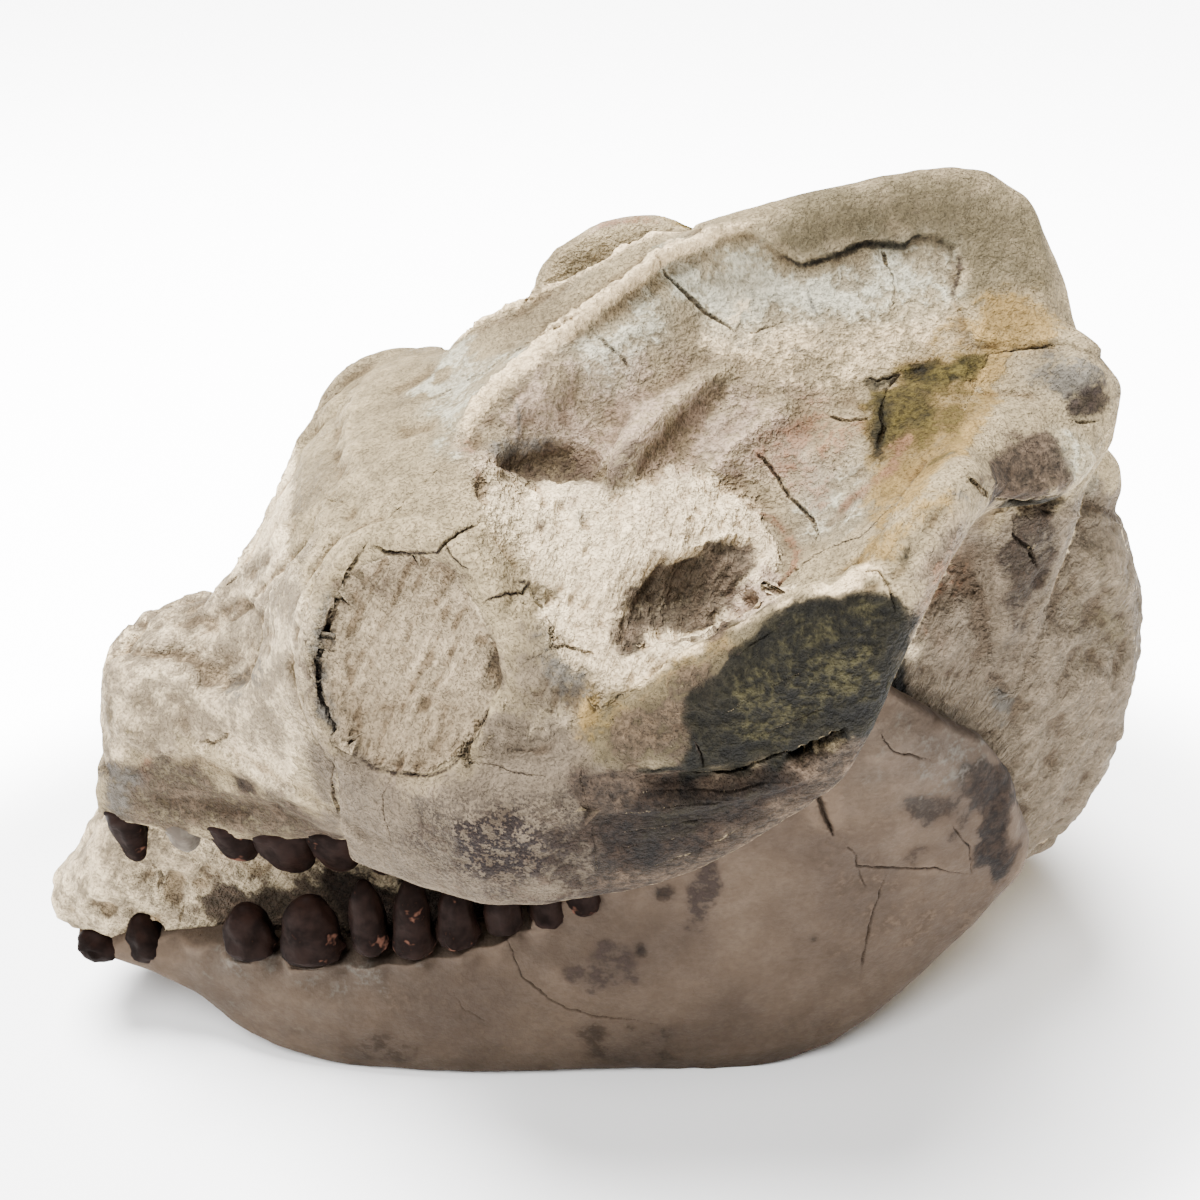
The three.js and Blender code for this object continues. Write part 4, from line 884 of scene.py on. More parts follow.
def shape(piece, marks):
    """Ridges, hollows, and raised and sunk areas."""
    skin = Skin(piece)
    tree = skin.look()
    tear = ragged(skin.view, 3.5, 60)
    lumps = ragged(skin.view, 9.0, 61)
    for form in marks.forms:
        path = laid_on(tree, form.pixels, 4.0, 3.0)
        reach = form.reach * MM
        gaps = apart(path, skin.view, reach * 1.4, reach * 0.6)
        rise = np.clip(1.0 - gaps / reach + tear * 0.18, 0.0, 1.0)
        rise = rise ** 1.4 if form.sharp else ramp(rise)
        rise[~np.isfinite(gaps)] = 0.0
        skin.push(rise * (0.9 + 0.4 * lumps) * form.height * MM)
    for patch in marks.patches:
        skin.push(skin.within(patch.pixels, patch.edge, tear, patch.through) * patch.height * MM)
    skin.write()


def cut(piece, marks, wander=1.6):
    """Cuts cracks and veins in a finer mesh. Returns their lines."""
    tree = Skin(piece).look()
    lines = [
        [(mark, laid_on(tree, mark.pixels, 1.5, wander)) for mark in group]
        for group in (marks.cracks, marks.veins)
    ]
    paths = [path for group in lines for _, path in group]
    if paths:
        refine(piece, paths, 1.3 * MM)
        refine(piece, paths, 0.7 * MM)
    skin = Skin(piece)
    uneven = 0.8 + 0.5 * ragged(skin.view, 3.0, 63)
    for group in lines:
        for mark, path in group:
            reach = mark.width * 0.5 * MM
            gaps = apart(path, skin.view, reach, reach * 0.6)
            skin.push(-ramp(1.0 - gaps / (reach * np.clip(uneven, 0.4, 1.2))) * mark.depth * MM)
    skin.write()
    return lines


def roughen(piece, relief, scrapes=(), where=None):
    """Relief is (lump size, height, seed); scrapes are (slope in degrees, pitch, height, seed).
    With where, a value for each vertex, they are that strong there."""
    skin = Skin(piece)
    total = np.zeros(len(skin.points))
    for size, height, seed in relief:
        total += ragged(skin.points, size, seed) * height * MM
    for slope, pitch, height, seed in scrapes:
        total += scraped(skin.points, slope, pitch, seed) * height * MM
    skin.push(total if where is None else total * where)
    skin.write()


def colour_marks(skin, marks):
    tree = skin.look()
    tear = ragged(skin.view, 5.0, 64)
    for tint in marks.tints:
        edge = tint.edge * 1.6
        skin.mark(tint.mask, skin.within(tint.pixels, edge, tear * (1.0 + TORN / edge)) * tint.strength)
    for stain in marks.stains:
        reach = stain.reach * 1.5 * MM
        gaps = apart(laid_on(tree, stain.pixels), skin.view, reach, reach * 0.5)
        skin.mark(stain.mask, ramp(1.0 - gaps / reach) * stain.strength)


def note_lines(skin, lines):
    thin = np.clip(0.85 + 0.6 * ragged(skin.view, 4.0, 62), 0.15, 1.0)
    for name, group in zip(("crack", "vein"), lines):
        for mark, path in group:
            reach = mark.width * 0.5 * MM
            gaps = apart(path, skin.view, reach, reach * 0.6)
            skin.mark(name, ramp(1.15 - gaps / reach) * thin)


def averaged(ends, values, rounds):
    """Values of vertices, averaged with their neighbours some times over."""
    fans = np.maximum(np.bincount(ends.ravel(), minlength=len(values)), 1)
    for _ in range(rounds):
        total = np.bincount(ends[:, 0], values[ends[:, 1]], len(values))
        total += np.bincount(ends[:, 1], values[ends[:, 0]], len(values))
        values = total / fans
    return values


def note_hollows(skin):
    """Marks hollows and edges from how the surface bends, so that painted shade can darken the hollows and wear can
    pale the edges.
    """
    ends = skin.edges()
    level = np.stack([averaged(ends, axis, 8) for axis in skin.points.T], axis=1)
    bend = ((level - skin.points) * skin.normals).sum(1) / MM
    skin.mark("hollow", np.clip(bend * 3.0, 0.0, 1.0))
    skin.mark("edge", np.clip(-bend * 3.0, 0.0, 1.0))


def scraped(points, slope, pitch, seed):
    """Parallel tool marks across the stone: uneven values from about -1 to 1."""
    turn = math.radians(slope)
    x = points[:, 0] * math.cos(turn) + points[:, 2] * math.sin(turn)
    z = points[:, 2] * math.cos(turn) - points[:, 0] * math.sin(turn)
    turned = np.stack([x, points[:, 1], z], axis=1)
    return ragged(turned, pitch, seed, (7.0, 2.0, 1.0))


def stained(piece, marks, lines, masks):
    """Stains a carved piece. Masks are values for each vertex that are known already."""
    skin = Skin(piece)
    for name, values in masks.items():
        skin.mark(name, values)
    colour_marks(skin, marks)
    note_lines(skin, lines)
    note_hollows(skin)
    if "bone" in skin.masks:
        skin.masks["silt"] *= 1.0 - skin.masks.pop("bone")
    skin.keep_marks()
    piece.data.shade_smooth()


# Sharing out

def owners(piece, shares):
    """The share whose CAD nodes are nearest, for each vertex."""
    corners, faces, homes = [], [], []
    for home, nodes in enumerate(shares.values()):
        for node in nodes:
            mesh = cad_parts[node].data
            first = len(corners)
            corners += [vert.co.copy() for vert in mesh.vertices]
            for face in mesh.polygons:
                faces.append([first + i for i in face.vertices])
                homes.append(home)
    tree = BVHTree.FromPolygons(corners, faces)
    nearest = np.array([homes[tree.find_nearest(vert.co)[2]] for vert in piece.data.vertices])
    ends = Skin(piece).edges()
    shares = [averaged(ends, (nearest == home).astype(float), 4) for home in range(len(shares))]
    return np.argmax(shares, axis=0)


def part_of(whole, name, chosen):
    """The faces of a whole of which all vertices are chosen, with their rim tucked in under it."""
    piece = bpy.data.objects.new(name, whole.data.copy())
    bpy.context.scene.collection.objects.link(piece)
    piece.vertex_groups.new(name=name).add(np.flatnonzero(chosen).tolist(), 1.0, "REPLACE")
    modifier = piece.modifiers.new("share", "MASK")
    modifier.vertex_group = name
    finish_modifier(piece, modifier)

    def tuck_in(bm):
        rims = [edge for edge in bm.edges if edge.is_boundary]
        outward = {vert: vert.normal.copy() for edge in rims for vert in edge.verts}
        for edge in rims:
            edge.smooth = False
        made = bmesh.ops.extrude_edge_only(bm, edges=rims)["geom"]
        for vert in made:
            if isinstance(vert, bmesh.types.BMVert):
                above = [edge.other_vert(vert) for edge in vert.link_edges]
                vert.co -= next(outward[rim] for rim in above if rim in outward) * SKIRT * MM

    reshape(piece, tuck_in)
    return piece


# Teeth

def crown(bm, tooth, width, side, upward, rng):
    """A tooth: a pinched, pointed crown with a fold on each flank, and its root in the jaw."""
    made = bmesh.ops.create_uvsphere(bm, u_segments=28, v_segments=20, radius=1.0)["verts"]
    turn = rng.uniform(-0.12, 0.12)
    for vert in made:
        u, v, w = vert.co
        if w > 0:
            taper = (1.0 - w) ** 0.5 * 0.4 + 0.6 * (1.0 - w ** 3) ** 0.5
            flat = math.hypot(u, v) or 1.0
            fold = 1.0 - 0.14 * (1.0 - w) * abs(math.cos(1.5 * math.atan2(v, u))) ** 6
            u, v = u / flat * taper * fold, v / flat * taper * fold
            u += tooth.lean * w
        rise = w * tooth.height if w > 0 else w * TOOTH_ROOT
        spot = Vector((u, v, w)) * 2.2 + Vector((tooth.x, tooth.y, tooth.z))
        rough = noise.noise(spot) * 0.18 + noise.noise(spot * 3.0) * 0.07
        u, v = u * (1 + rough), v * (1 + rough)
        vert.co = Vector((u * tooth.length / 2, v * width / 2, rise if upward else -rise))
    bmesh.ops.rotate(bm, verts=made, cent=(0, 0, 0), matrix=Matrix.Rotation(turn, 3, "Z"))
    bmesh.ops.translate(bm, verts=made, vec=(tooth.x, tooth.y * side, tooth.z))


def tooth_row(name, teeth, width, side, upward, finish, seed):
    rng = random.Random(seed)
    bm = bmesh.new()
    for tooth in teeth:
        crown(bm, tooth, width, side, upward, rng)
    bmesh.ops.scale(bm, verts=bm.verts, vec=(MM, MM, MM))
    bmesh.ops.recalc_face_normals(bm, faces=bm.faces)
    mesh = bpy.data.meshes.new(name)
    bm.to_mesh(mesh)
    bm.free()
    mesh.shade_smooth()
    piece = bpy.data.objects.new(name, mesh)
    bpy.context.scene.collection.objects.link(piece)
    mesh.materials.append(finish)
    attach(piece, "root")


# Finishes

class Sketch:
    """Adds nodes to a material or a group, set or wired by the names of their sockets."""

    def __init__(self, tree):
        self.tree = tree

    def put(self, socket, value):
        if isinstance(value, bpy.types.NodeSocket):
            self.tree.links.new(value, socket)
        else:
            socket.default_value = value

    def node(self, kind, traits=None, **values):
        made = self.tree.nodes.new("ShaderNode" + kind)
        for name, value in (traits or {}).items():
            setattr(made, name, value)
        for name, value in values.items():
            self.put(made.inputs[name.replace("_", " ")], value)
        return made

    def noise(self, where, scale, detail=5.0, rough=0.55):
        made = self.node("TexNoise", Vector=where, Scale=scale, Detail=detail, Roughness=rough)
        return made.outputs["Fac"]

    def ramp(self, value, low, high, bottom=0.0, top=1.0):
        made = self.node("MapRange", {"interpolation_type": "SMOOTHSTEP"}, Value=value)
        for name, number in zip(("From Min", "From Max", "To Min", "To Max"), (low, high, bottom, top)):
            made.inputs[name].default_value = number
        return made.outputs["Result"]

    def sum(self, operation, first, second):
        made = self.node("Math", {"operation": operation})
        self.put(made.inputs[0], first)
        self.put(made.inputs[1], second)
        return made.outputs["Value"]

    def mixed(self, factor, first, second, blend="MIX"):
        made = self.node("Mix", {"data_type": "RGBA", "blend_type": blend})
        self.put(made.inputs["Factor"], factor)
        colours = [s for s in made.inputs if s.type == "RGBA"]
        self.put(colours[0], first)
        self.put(colours[1], second)
        return next(s for s in made.outputs if s.type == "RGBA")

    def mask(self, name):
        return self.node("Attribute", {"attribute_name": name}).outputs["Fac"]

    def group(self, tree, **values):
        made = self.tree.nodes.new("ShaderNodeGroup")
        made.node_tree = tree
        for name, value in values.items():
            self.put(made.inputs[name.replace("_", " ")], value)
        return made


def colour(red, green, blue):
    return (red, green, blue, 1.0)


def new_group(name, inputs, outputs):
    tree = bpy.data.node_groups.new(name, "ShaderNodeTree")
    for label, kind in inputs.items():
        tree.interface.new_socket(label, in_out="INPUT", socket_type="NodeSocket" + kind)
    for label, kind in outputs.items():
        tree.interface.new_socket(label, in_out="OUTPUT", socket_type="NodeSocket" + kind)
    source = tree.nodes.new("NodeGroupInput").outputs
    sink = tree.nodes.new("NodeGroupOutput").inputs
    return tree, Sketch(tree), source, sink


def stone_grain():
    """Noises of the stone, from broad to fine, in metres."""
    tree, draw, source, sink = new_group(
        "Stone grain", {"Vector": "Vector"},
        {"Broad": "Float", "Ragged": "Float", "Fine": "Float", "Grit": "Float"},
    )
    for name, scale, detail, rough in (("Broad", 42.0, 2.0, 0.6), ("Ragged", 210.0, 3.0, 0.66),
                                       ("Fine", 780.0, 2.0, 0.7), ("Grit", 2300.0, 1.0, 0.6)):
        draw.put(sink[name], draw.noise(source["Vector"], scale, detail, rough))
    return tree


def torn_edge():
    """How far a stain covers the stone, with a torn edge where its mask fades."""
    tree, draw, source, sink = new_group(
        "Torn edge", {"Mask": "Float", "Ragged": "Float", "Fine": "Float"}, {"Cover": "Float"}
    )
    mask = source["Mask"]
    tear = draw.sum("ADD", draw.ramp(source["Ragged"], 0.25, 0.75, -1.4, 1.4),
                    draw.ramp(source["Fine"], 0.25, 0.75, -1.2, 1.2))
    middle = draw.sum("MULTIPLY", mask, draw.sum("SUBTRACT", 1.0, mask))
    torn = draw.sum("ADD", mask, draw.sum("MULTIPLY", tear, middle))
    cover = draw.sum("MULTIPLY", draw.ramp(torn, 0.22, 0.78), 0.6)
    draw.put(sink["Cover"], draw.sum("ADD", cover, draw.sum("MULTIPLY", mask, 0.4)))
    return tree


def weathered_stone():
    """Mottled stone between two tones, with grain and pits."""
    tree, draw, source, sink = new_group(
        "Weathered stone",
        {"Broad": "Float", "Ragged": "Float", "Fine": "Float", "Grit": "Float", "Light": "Color",
         "Shade": "Color", "Pitting": "Float", "Mottling": "Float"},
        {"Color": "Color", "Height": "Float"},
    )
    tone = draw.mixed(draw.ramp(source["Broad"], 0.34, 0.68), source["Light"], source["Shade"])
    uneven = draw.sum("MULTIPLY", draw.ramp(source["Ragged"], 0.32, 0.68, 1.22, 0.72),
                      draw.ramp(source["Fine"], 0.32, 0.66, 0.62, 1.28))
    uneven = draw.sum("MULTIPLY", draw.sum("SUBTRACT", uneven, 1.0), source["Mottling"])
    uneven = draw.sum("ADD", uneven, 1.0)
    tone = draw.node("VectorMath", {"operation": "SCALE"}, Vector=tone, Scale=uneven).outputs["Vector"]
    pits = draw.sum("MULTIPLY", draw.ramp(source["Grit"], 0.55, 0.64), source["Pitting"])
    tone = draw.mixed(draw.sum("MULTIPLY", pits, 0.7), tone, colour(0.045, 0.030, 0.021))
    height = draw.sum("ADD", source["Ragged"], draw.sum("MULTIPLY", source["Fine"], 0.7))
    draw.put(sink["Color"], tone)
    draw.put(sink["Height"], draw.sum("SUBTRACT", height, draw.sum("MULTIPLY", pits, 0.35)))
    return tree


grain_group = stone_grain()
torn_group = torn_edge()
stone_group = weathered_stone()


# The umber, soot, sand and khaki tones are also laid as painted shade and shadow in some places.
STAIN_TONES = {
    "rose": (0.200, 0.146, 0.106),
    "sand and shade": (0.075, 0.0575, 0.0395),
    "bleach": (0.290, 0.274, 0.205),
    "cream": (0.400, 0.305, 0.180),
    "khaki and shade": (0.060, 0.048, 0.027),
    "ochre": (0.125, 0.080, 0.027),
    "olive": (0.0230, 0.0175, 0.0048),
    "rust": (0.105, 0.055, 0.030),
    "umber and shade": (0.0275, 0.0190, 0.0130),
    "brown": (0.0080, 0.0051, 0.0034),
    "slate": (0.056, 0.051, 0.043),
    "plum": (0.0085, 0.0057, 0.0048),
    "soot and shadow": (0.0044, 0.0038, 0.0022),
    "moss": (0.0160, 0.0138, 0.0062),
}
SPECKLES = (0.008, 0.0055, 0.0050)
DARK = 0.05


def mineral_stains():
    """Stains with torn edges and uneven tones, each where its mask is set, over a colour."""
    inputs = {"Color": "Color", "Ragged": "Float", "Fine": "Float", "Grit": "Float", "Violet": "Float"}
    inputs.update({name.capitalize(): "Float" for name in STAIN_TONES})
    tree, draw, source, sink = new_group("Mineral stains", inputs, {"Color": "Color"})
    even = draw.ramp(source["Fine"], 0.3, 0.7, 0.8, 1.2)
    blotchy = draw.sum("MULTIPLY", draw.ramp(source["Fine"], 0.32, 0.68, 0.5, 1.5),
                       draw.ramp(source["Ragged"], 0.34, 0.66, 0.6, 1.5))
    tone = source["Color"]
    for name, shade in STAIN_TONES.items():
        torn = draw.group(torn_group, Mask=source[name.capitalize()], Ragged=source["Ragged"],
                          Fine=source["Fine"])
        stain = draw.node("VectorMath", {"operation": "SCALE"}, Vector=shade,
                          Scale=blotchy if max(shade) < DARK else even)
        tone = draw.mixed(torn.outputs["Cover"], tone, stain.outputs["Vector"])
    specks = draw.sum("ADD", source["Fine"], draw.sum("MULTIPLY", source["Grit"], 0.5))
    specks = draw.ramp(specks, 0.66, 0.78, 0.0, 0.95)
    tone = draw.mixed(draw.sum("MULTIPLY", specks, source["Violet"]), tone, colour(*SPECKLES))
    draw.put(sink["Color"], tone)
    return tree


def shade_and_wear():
    """Darkens cracks, paints shade into hollows, and pales worn edges and healed cracks."""
    tree, draw, source, sink = new_group(
        "Shade and wear",
        {"Color": "Color", "Crack": "Float", "Vein": "Float", "Hollow": "Float", "Edge": "Float",
         "Pale": "Color"},
        {"Color": "Color"},
    )
    # painted shade: hollows are darkened by how far the surface bends in
    tone = draw.mixed(draw.ramp(source["Hollow"], 0.08, 0.9, 0.0, 0.6), source["Color"],
                      colour(0.34, 0.27, 0.21), "MULTIPLY")
    shaded_and_worn = draw.node("VectorMath", {"operation": "SCALE"}, Vector=tone, Scale=1.5).outputs["Vector"]
    tone = draw.mixed(draw.ramp(source["Edge"], 0.15, 0.9, 0.0, 0.6), tone, shaded_and_worn)
    tone = draw.mixed(draw.ramp(source["Vein"], 0.35, 0.85, 0.0, 0.6), tone, source["Pale"])
    tone = draw.mixed(draw.ramp(source["Crack"], 0.25, 0.80, 0.0, 0.92), tone,
                      colour(0.022, 0.016, 0.012))
    draw.put(sink["Color"], tone)
    return tree


def tool_marks():
    """Fine parallel scratches left by a scraper, with the grain of the stone showing in them."""
    tree, draw, source, sink = new_group(
        "Tool marks", {"Vector": "Vector"}, {"Height": "Float", "Shade": "Float"}
    )
    scratches = draw.noise(source["Vector"], 60.0, 2.0, 0.62)
    chips = draw.noise(source["Vector"], 22.0, 1.0, 0.6)
    draw.put(sink["Height"], draw.sum("ADD", scratches, draw.sum("MULTIPLY", chips, 0.8)))
    draw.put(sink["Shade"], draw.ramp(scratches, 0.38, 0.62))
    return tree


stain_group = mineral_stains()
shade_and_wear_group = shade_and_wear()
scratch_group = tool_marks()


def new_material(name, roughness):
    made = bpy.data.materials.new(name)
    made.use_nodes = True
    shader = made.node_tree.nodes["Principled BSDF"]
    shader.inputs["Roughness"].default_value = roughness
    shader.inputs["Specular IOR Level"].default_value = 0.08
    return made, Sketch(made.node_tree), shader


Tones = namedtuple("Tones", "light shade pale")
BONE = Tones((0.180, 0.141, 0.081), (0.115, 0.089, 0.052), (0.25, 0.197, 0.118))
JAW_BONE = Tones((0.055, 0.0385, 0.0265), (0.036, 0.0250, 0.0175), (0.078, 0.057, 0.041))
SEDIMENT = Tones((0.480, 0.385, 0.243), (0.350, 0.274, 0.171), (0.52, 0.420, 0.276))
SOCKET_CLAY = (0.43, 0.415, 0.415)
SCRAPER_TURN = (0.0, math.radians(-60), 0.0)
SCRAPER_STRETCH = (0.35, 0.12, 0.045)


def stone_finish(name, tones, pitting, mottling, relief):
    """Stained stone. Where the silt mask is set it is sediment, with scraper marks."""
    made, draw, shader = new_material(name, 0.85)
    where = draw.node("TexCoord").outputs["Object"]
    grain = draw.group(grain_group, Vector=where).outputs
    noises = {name: grain[name] for name in ("Ragged", "Fine")}
    silt = draw.group(torn_group, Mask=draw.mask("silt"), **noises).outputs["Cover"]
    light, shade, pale = (draw.mixed(silt, colour(*first), colour(*second))
                          for first, second in zip(tones, SEDIMENT))
    stone = draw.group(stone_group, Broad=grain["Broad"], Grit=grain["Grit"], Light=light, Shade=shade,
                       Pitting=pitting, Mottling=mottling, **noises)
    place = draw.node("Mapping", {"vector_type": "TEXTURE"}, Vector=where, Rotation=SCRAPER_TURN,
                      Scale=SCRAPER_STRETCH)
    marks = draw.group(scratch_group, Vector=place.outputs["Vector"])
    scraped = draw.sum("MULTIPLY", marks.outputs["Shade"], draw.sum("MULTIPLY", silt, 0.15))
    tone = draw.mixed(scraped, stone.outputs["Color"], shade)
    tone = draw.mixed(draw.mask("clay"), tone, colour(*SOCKET_CLAY), "MULTIPLY")
    height = draw.sum("MULTIPLY", marks.outputs["Height"], draw.sum("MULTIPLY", silt, 0.6))
    height = draw.sum("ADD", stone.outputs["Height"], height)
    masks = {name.capitalize(): draw.mask(name) for name in [*STAIN_TONES, "violet"]}
    tone = draw.group(stain_group, Color=tone, Grit=grain["Grit"], **noises, **masks).outputs["Color"]
    # painted shade in the hollows, with wear on the edges, pale veins and dark cracks
    shaded_and_worn = draw.group(shade_and_wear_group, Color=tone, Crack=draw.mask("crack"), Vein=draw.mask("vein"),
                      Hollow=draw.mask("hollow"), Edge=draw.mask("edge"), Pale=pale)
    draw.put(shader.inputs["Base Color"], shaded_and_worn.outputs["Color"])
    draw.put(shader.inputs["Roughness"], draw.ramp(grain["Ragged"], 0.3, 0.7, 0.72, 0.94))
    bump = draw.node("Bump", Strength=1.0, Distance=relief * MM, Height=height)
    draw.put(shader.inputs["Normal"], bump.outputs["Normal"])
    return made


def enamel_finish(name, light, shade):
    """Worn enamel, a little glossy, with reddish specks where it is chipped."""
    made, draw, shader = new_material(name, 0.5)
    where = draw.node("TexCoord").outputs["Object"]
    grain = draw.group(grain_group, Vector=where).outputs
    tone = draw.mixed(draw.ramp(grain["Ragged"], 0.35, 0.65), colour(*light), colour(*shade))
    chips = draw.sum("ADD", grain["Ragged"], draw.sum("MULTIPLY", grain["Broad"], 0.5))
    tone = draw.mixed(draw.ramp(chips, 0.88, 0.98, 0.0, 0.6), tone, colour(0.10, 0.045, 0.030))
    draw.put(shader.inputs["Base Color"], tone)
    draw.put(shader.inputs["Roughness"], draw.ramp(grain["Ragged"], 0.35, 0.7, 0.48, 0.75))
    shader.inputs["Specular IOR Level"].default_value = 0.02
    bump = draw.node("Bump", Strength=1.0, Distance=0.2 * MM, Height=grain["Ragged"])
    draw.put(shader.inputs["Normal"], bump.outputs["Normal"])
    return made


bone = stone_finish("fossil bone", BONE, 0.5, 0.5, 1.4)
sediment = stone_finish("pale sediment", BONE, 0.5, 0.5, 1.4)
jawbone = stone_finish("jaw bone", JAW_BONE, 0.1, 0.22, 0.3)
dark_enamel = enamel_finish("dark enamel", (0.0075, 0.0036, 0.0026), (0.0028, 0.0014, 0.0010))
pale_enamel = enamel_finish("pale enamel", (0.110, 0.095, 0.077), (0.055, 0.045, 0.036))


# The pieces

def finished(piece, nodes, material):
    piece.data.materials.clear()
    piece.data.materials.append(material)
    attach(piece, "root")
    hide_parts(*nodes)


SIDES = {"left": -1, "right": 1}
BONE_SHARES = {
    "cranium": ["snout", "face", "braincase", "sagittal_crest", "occiput", "paroccipital_process_left",
                "paroccipital_process_right"],
    "cheek_arch_left": ["zygomatic_arch_left"],
    "cheek_arch_right": ["zygomatic_arch_right"],
}
SEDIMENT_SHARES = {
    "eye_socket_fill_left": ["eye_socket_sediment_left"],
    "eye_socket_fill_right": ["eye_socket_sediment_right"],
    "temple_fill_left": ["temple_sediment_left"],
    "temple_fill_right": ["temple_sediment_right"],
    "nose_fill": ["nose_sediment"],
    "nape_fill": ["nape_sediment"],
}
SKULL_SHARES = {**BONE_SHARES, **SEDIMENT_SHARES}

skull_marks = Marks(
    CRANIUM_FORMS + ARCH_FORMS + TEMPLE_FORMS + SOCKET_FORMS + NOSE_FORMS + NAPE_FORMS,
    CRANIUM_PATCHES + ARCH_PATCHES + TEMPLE_PATCHES,
    CRANIUM_CRACKS + ARCH_CRACKS + TEMPLE_CRACKS,
    CRANIUM_VEINS + ARCH_VEINS,
    CRANIUM_TINTS + ARCH_TINTS + TEMPLE_TINTS + SOCKET_TINTS + NOSE_TINTS + NAPE_TINTS,
    CRANIUM_STAINS + ARCH_STAINS + TEMPLE_STAINS,
)
jaw_marks = Marks(forms=JAW_FORMS, cracks=JAW_CRACKS, tints=JAW_TINTS, stains=JAW_STAINS)
mouth_marks = Marks(forms=MOUTH_FORMS, cracks=MOUTH_CRACKS, tints=MOUTH_TINTS)

# The skull is carved as one skin, then shared out among its bones and its sediment.
skull = fused("skull", sum(SKULL_SHARES.values(), []), BONE_GRAIN, SKULL_SMOOTHING)
level_gum(skull, UPPER_GUM, False)
press_nose(skull)
draw_taut(skull, TAUT_AREAS)
shape(skull, skull_marks)
refine_areas(skull, FINE_AREAS)
skull_lines = cut(skull, skull_marks)
homes = owners(skull, SKULL_SHARES)
names = list(SKULL_SHARES)
SCRAPED_SHARES = [names.index(f"{place}_fill_{side}") for place in ("eye_socket", "temple") for side in SIDES]
filled = averaged(Skin(skull).edges(), (homes >= len(BONE_SHARES)).astype(float), 3)
roughen(skull, [(26, 0.6, 1), (7, 0.24, 2), (2.6, 0.10, 3)], where=1.0 - filled)
scraped_clean = averaged(Skin(skull).edges(), np.isin(homes, SCRAPED_SHARES).astype(float), 3)
roughen(skull, [(11, 0.5, 4), (3.6, 0.36, 5), (1.6, 0.20, 6)], where=filled)
nape = averaged(Skin(skull).edges(), (homes == names.index("nape_fill")).astype(float), 3)
roughen(skull, [(14, 1.0, 9), (4.5, 0.55, 10)], where=nape)
roughen(skull, [], [(62, 1.2, 0.60, 7), (30, 1.8, 0.16, 8)], scraped_clean)
thin_out(skull, MOST_SKULL_TRIANGLES)
homes = owners(skull, SKULL_SHARES)
ends = Skin(skull).edges()
clay = np.isin(homes, [names.index(f"eye_socket_fill_{side}") for side in SIDES])
stained(skull, skull_marks, skull_lines, {
    "silt": averaged(ends, (homes >= len(BONE_SHARES)).astype(float), 3),
    "clay": averaged(ends, clay.astype(float), 3),
})
faces = np.array([list(face.vertices) for face in skull.data.polygons])
kept = np.array([homes[faces[:, 0]] == homes[faces[:, i]] for i in (1, 2)]).all(axis=0)
for home, (name, nodes) in enumerate(SKULL_SHARES.items()):
    chosen = homes == home
    if home == 0:
        chosen[faces[~kept]] = True
    piece = part_of(skull, name, chosen)
    if name in BONE_SHARES:
        finished(piece, nodes, bone)
    else:
        finished(piece, nodes, sediment)
bpy.data.objects.remove(skull)

for seed, (side, sign) in enumerate(SIDES.items()):
    jaw = fused(f"lower_jaw_bone_{side}", [f"lower_jaw_{side}"], JAW_GRAIN, 9)
    level_gum(jaw, LOWER_GUM, True)
    shape(jaw, jaw_marks)
    jaw_lines = cut(jaw, jaw_marks)
    roughen(jaw, [(24, 0.5, 12 + seed), (7, 0.16, 14 + seed), (2.4, 0.06, 16 + seed)])
    thin_out(jaw)
    stained(jaw, jaw_marks, jaw_lines, {})
    finished(jaw, [f"lower_jaw_{side}"], jawbone)

    tooth_row(f"upper_teeth_{side}", UPPER_TEETH, UPPER_CROWN_WIDTH, sign, False, dark_enamel, 40)
    tooth_row(f"pale_tooth_{side}", PALE_TEETH, UPPER_CROWN_WIDTH, sign, False, pale_enamel, 41)
    tooth_row(f"lower_teeth_{side}", LOWER_TEETH, LOWER_CROWN_WIDTH, sign, True, dark_enamel, 42)

mouth = fused("mouth_fill", ["mouth_sediment"], FILL_GRAIN, 7)
shape(mouth, mouth_marks)
mouth_lines = cut(mouth, mouth_marks)
roughen(mouth, [(9, 0.8, 54), (3.2, 0.4, 55), (1.6, 0.18, 56)], [(60, 1.6, 0.2, 57)])
thin_out(mouth)
stained(mouth, mouth_marks, mouth_lines, {"silt": np.ones(len(mouth.data.vertices))})
finished(mouth, ["mouth_sediment"], sediment)


# Floor, light and camera

FLOOR_SIDE = 12.0
# The floor glows as painted light: white away from the skull, not glowing near it, where the lamps' shadow shows.
FOOTPRINT = (0.12, 0.07, 1.0)
GLOW_REACH = (1.25, 1.9)  # the floor lightens to white away from the skull, in footprints
GLOW = 8.0
SKULL_MIDDLE = (0.0, 0.0, 0.08)


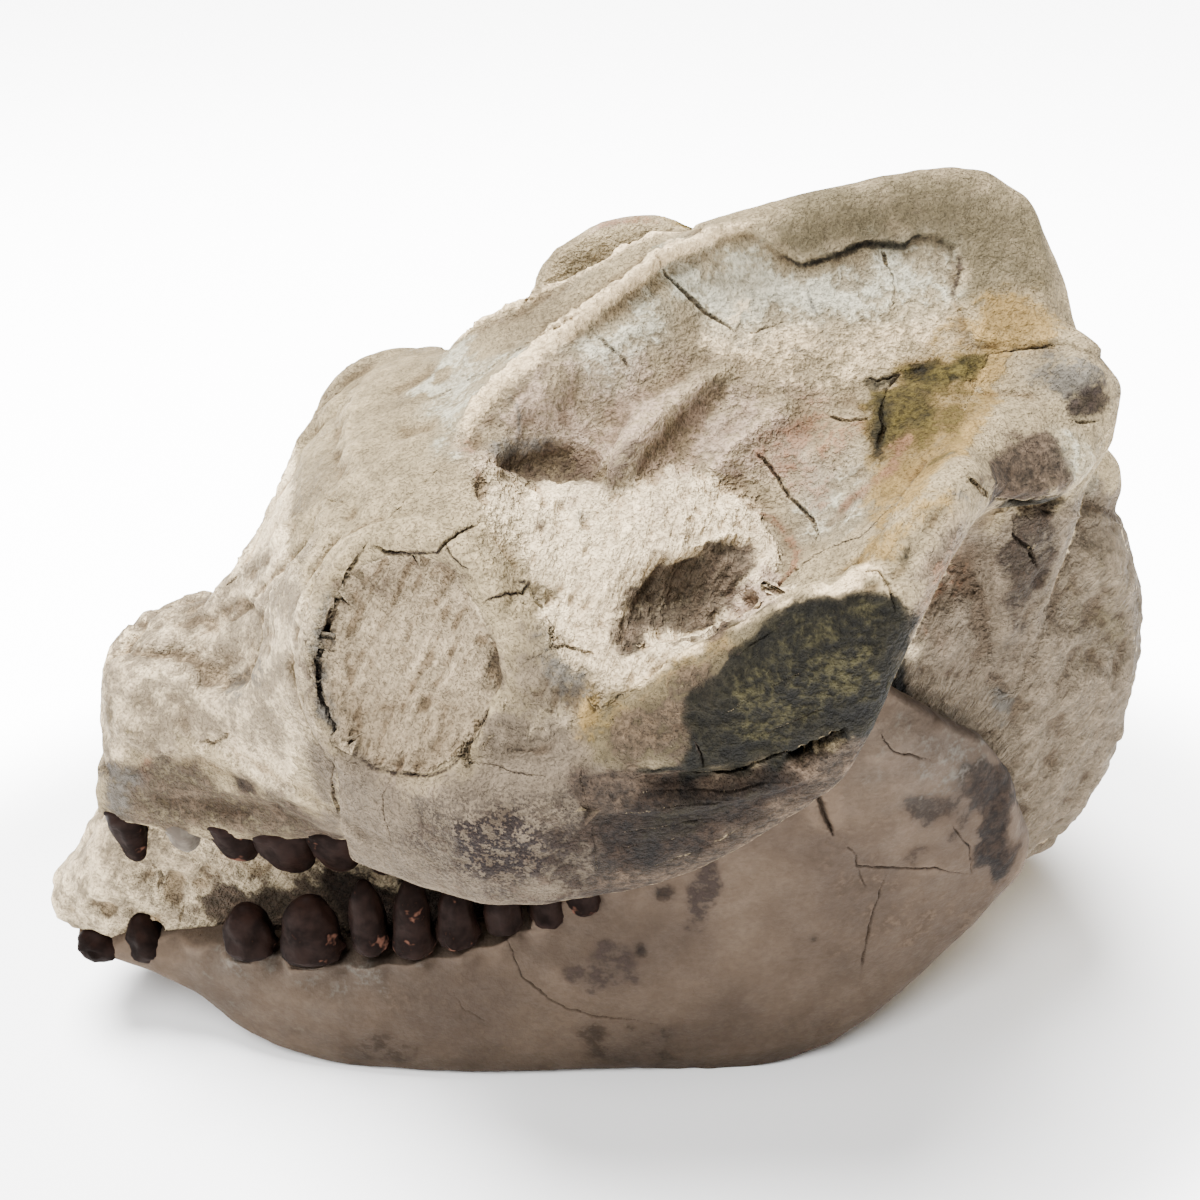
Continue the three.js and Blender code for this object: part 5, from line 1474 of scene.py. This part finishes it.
def pale_floor():
    bm = bmesh.new()
    bmesh.ops.create_grid(bm, x_segments=2, y_segments=2, size=FLOOR_SIDE / 2)
    mesh = bpy.data.meshes.new("floor")
    bm.to_mesh(mesh)
    bm.free()
    floor = bpy.data.objects.new("floor", mesh)
    bpy.context.scene.collection.objects.link(floor)
    made, draw, shader = new_material("pale floor", 0.9)
    where = draw.node("TexCoord").outputs["Object"]
    speck = draw.ramp(draw.noise(where, 3.0), 0.3, 0.7)
    draw.put(shader.inputs["Base Color"],
             draw.mixed(speck, colour(0.94, 0.94, 0.94), colour(0.92, 0.92, 0.92)))
    spread = draw.node("VectorMath", {"operation": "DIVIDE"}, Vector=where)
    spread.inputs[1].default_value = FOOTPRINT
    away = draw.node("VectorMath", {"operation": "LENGTH"}, Vector=spread.outputs["Vector"]).outputs["Value"]
    # painted light: the floor glows, more the further it is from the skull
    glow = draw.ramp(away, *GLOW_REACH)
    draw.put(shader.inputs["Emission Color"], draw.mixed(glow, colour(0, 0, 0), colour(1, 1, 1)))
    shader.inputs["Emission Strength"].default_value = GLOW
    mesh.materials.append(made)


def soft_light(name, place, aim, size, power):
    lamp = bpy.data.lights.new(name, "AREA")
    lamp.shape = "DISK"
    lamp.size = size
    lamp.energy = power
    holder = bpy.data.objects.new(name, lamp)
    holder.location = place
    holder.rotation_euler = (Vector(aim) - Vector(place)).to_track_quat("-Z", "Y").to_euler()
    bpy.context.scene.collection.objects.link(holder)


pale_floor()
soft_light("key light", (-0.20, 0.20, 1.15), SKULL_MIDDLE, 0.6, 84.0)
soft_light("front light", (-0.35, -0.45, 1.05), SKULL_MIDDLE, 0.6, 22.0)

sky = bpy.data.worlds.new("pale studio")
sky.use_nodes = True
sky.node_tree.nodes["Background"].inputs["Color"].default_value = (1.0, 1.0, 1.0, 1.0)
sky.node_tree.nodes["Background"].inputs["Strength"].default_value = 0.2
bpy.context.scene.world = sky

lens = bpy.data.cameras.new("camera")
lens.sensor_width = SENSOR
lens.lens = FOCAL * SENSOR / PICTURE
lens.clip_start = 0.01
camera = bpy.data.objects.new("camera", lens)
camera.location = EYE
camera.rotation_euler = (math.pi / 2 - ELEVATION, 0.0, AZIMUTH)
bpy.context.scene.collection.objects.link(camera)
bpy.context.scene.camera = camera
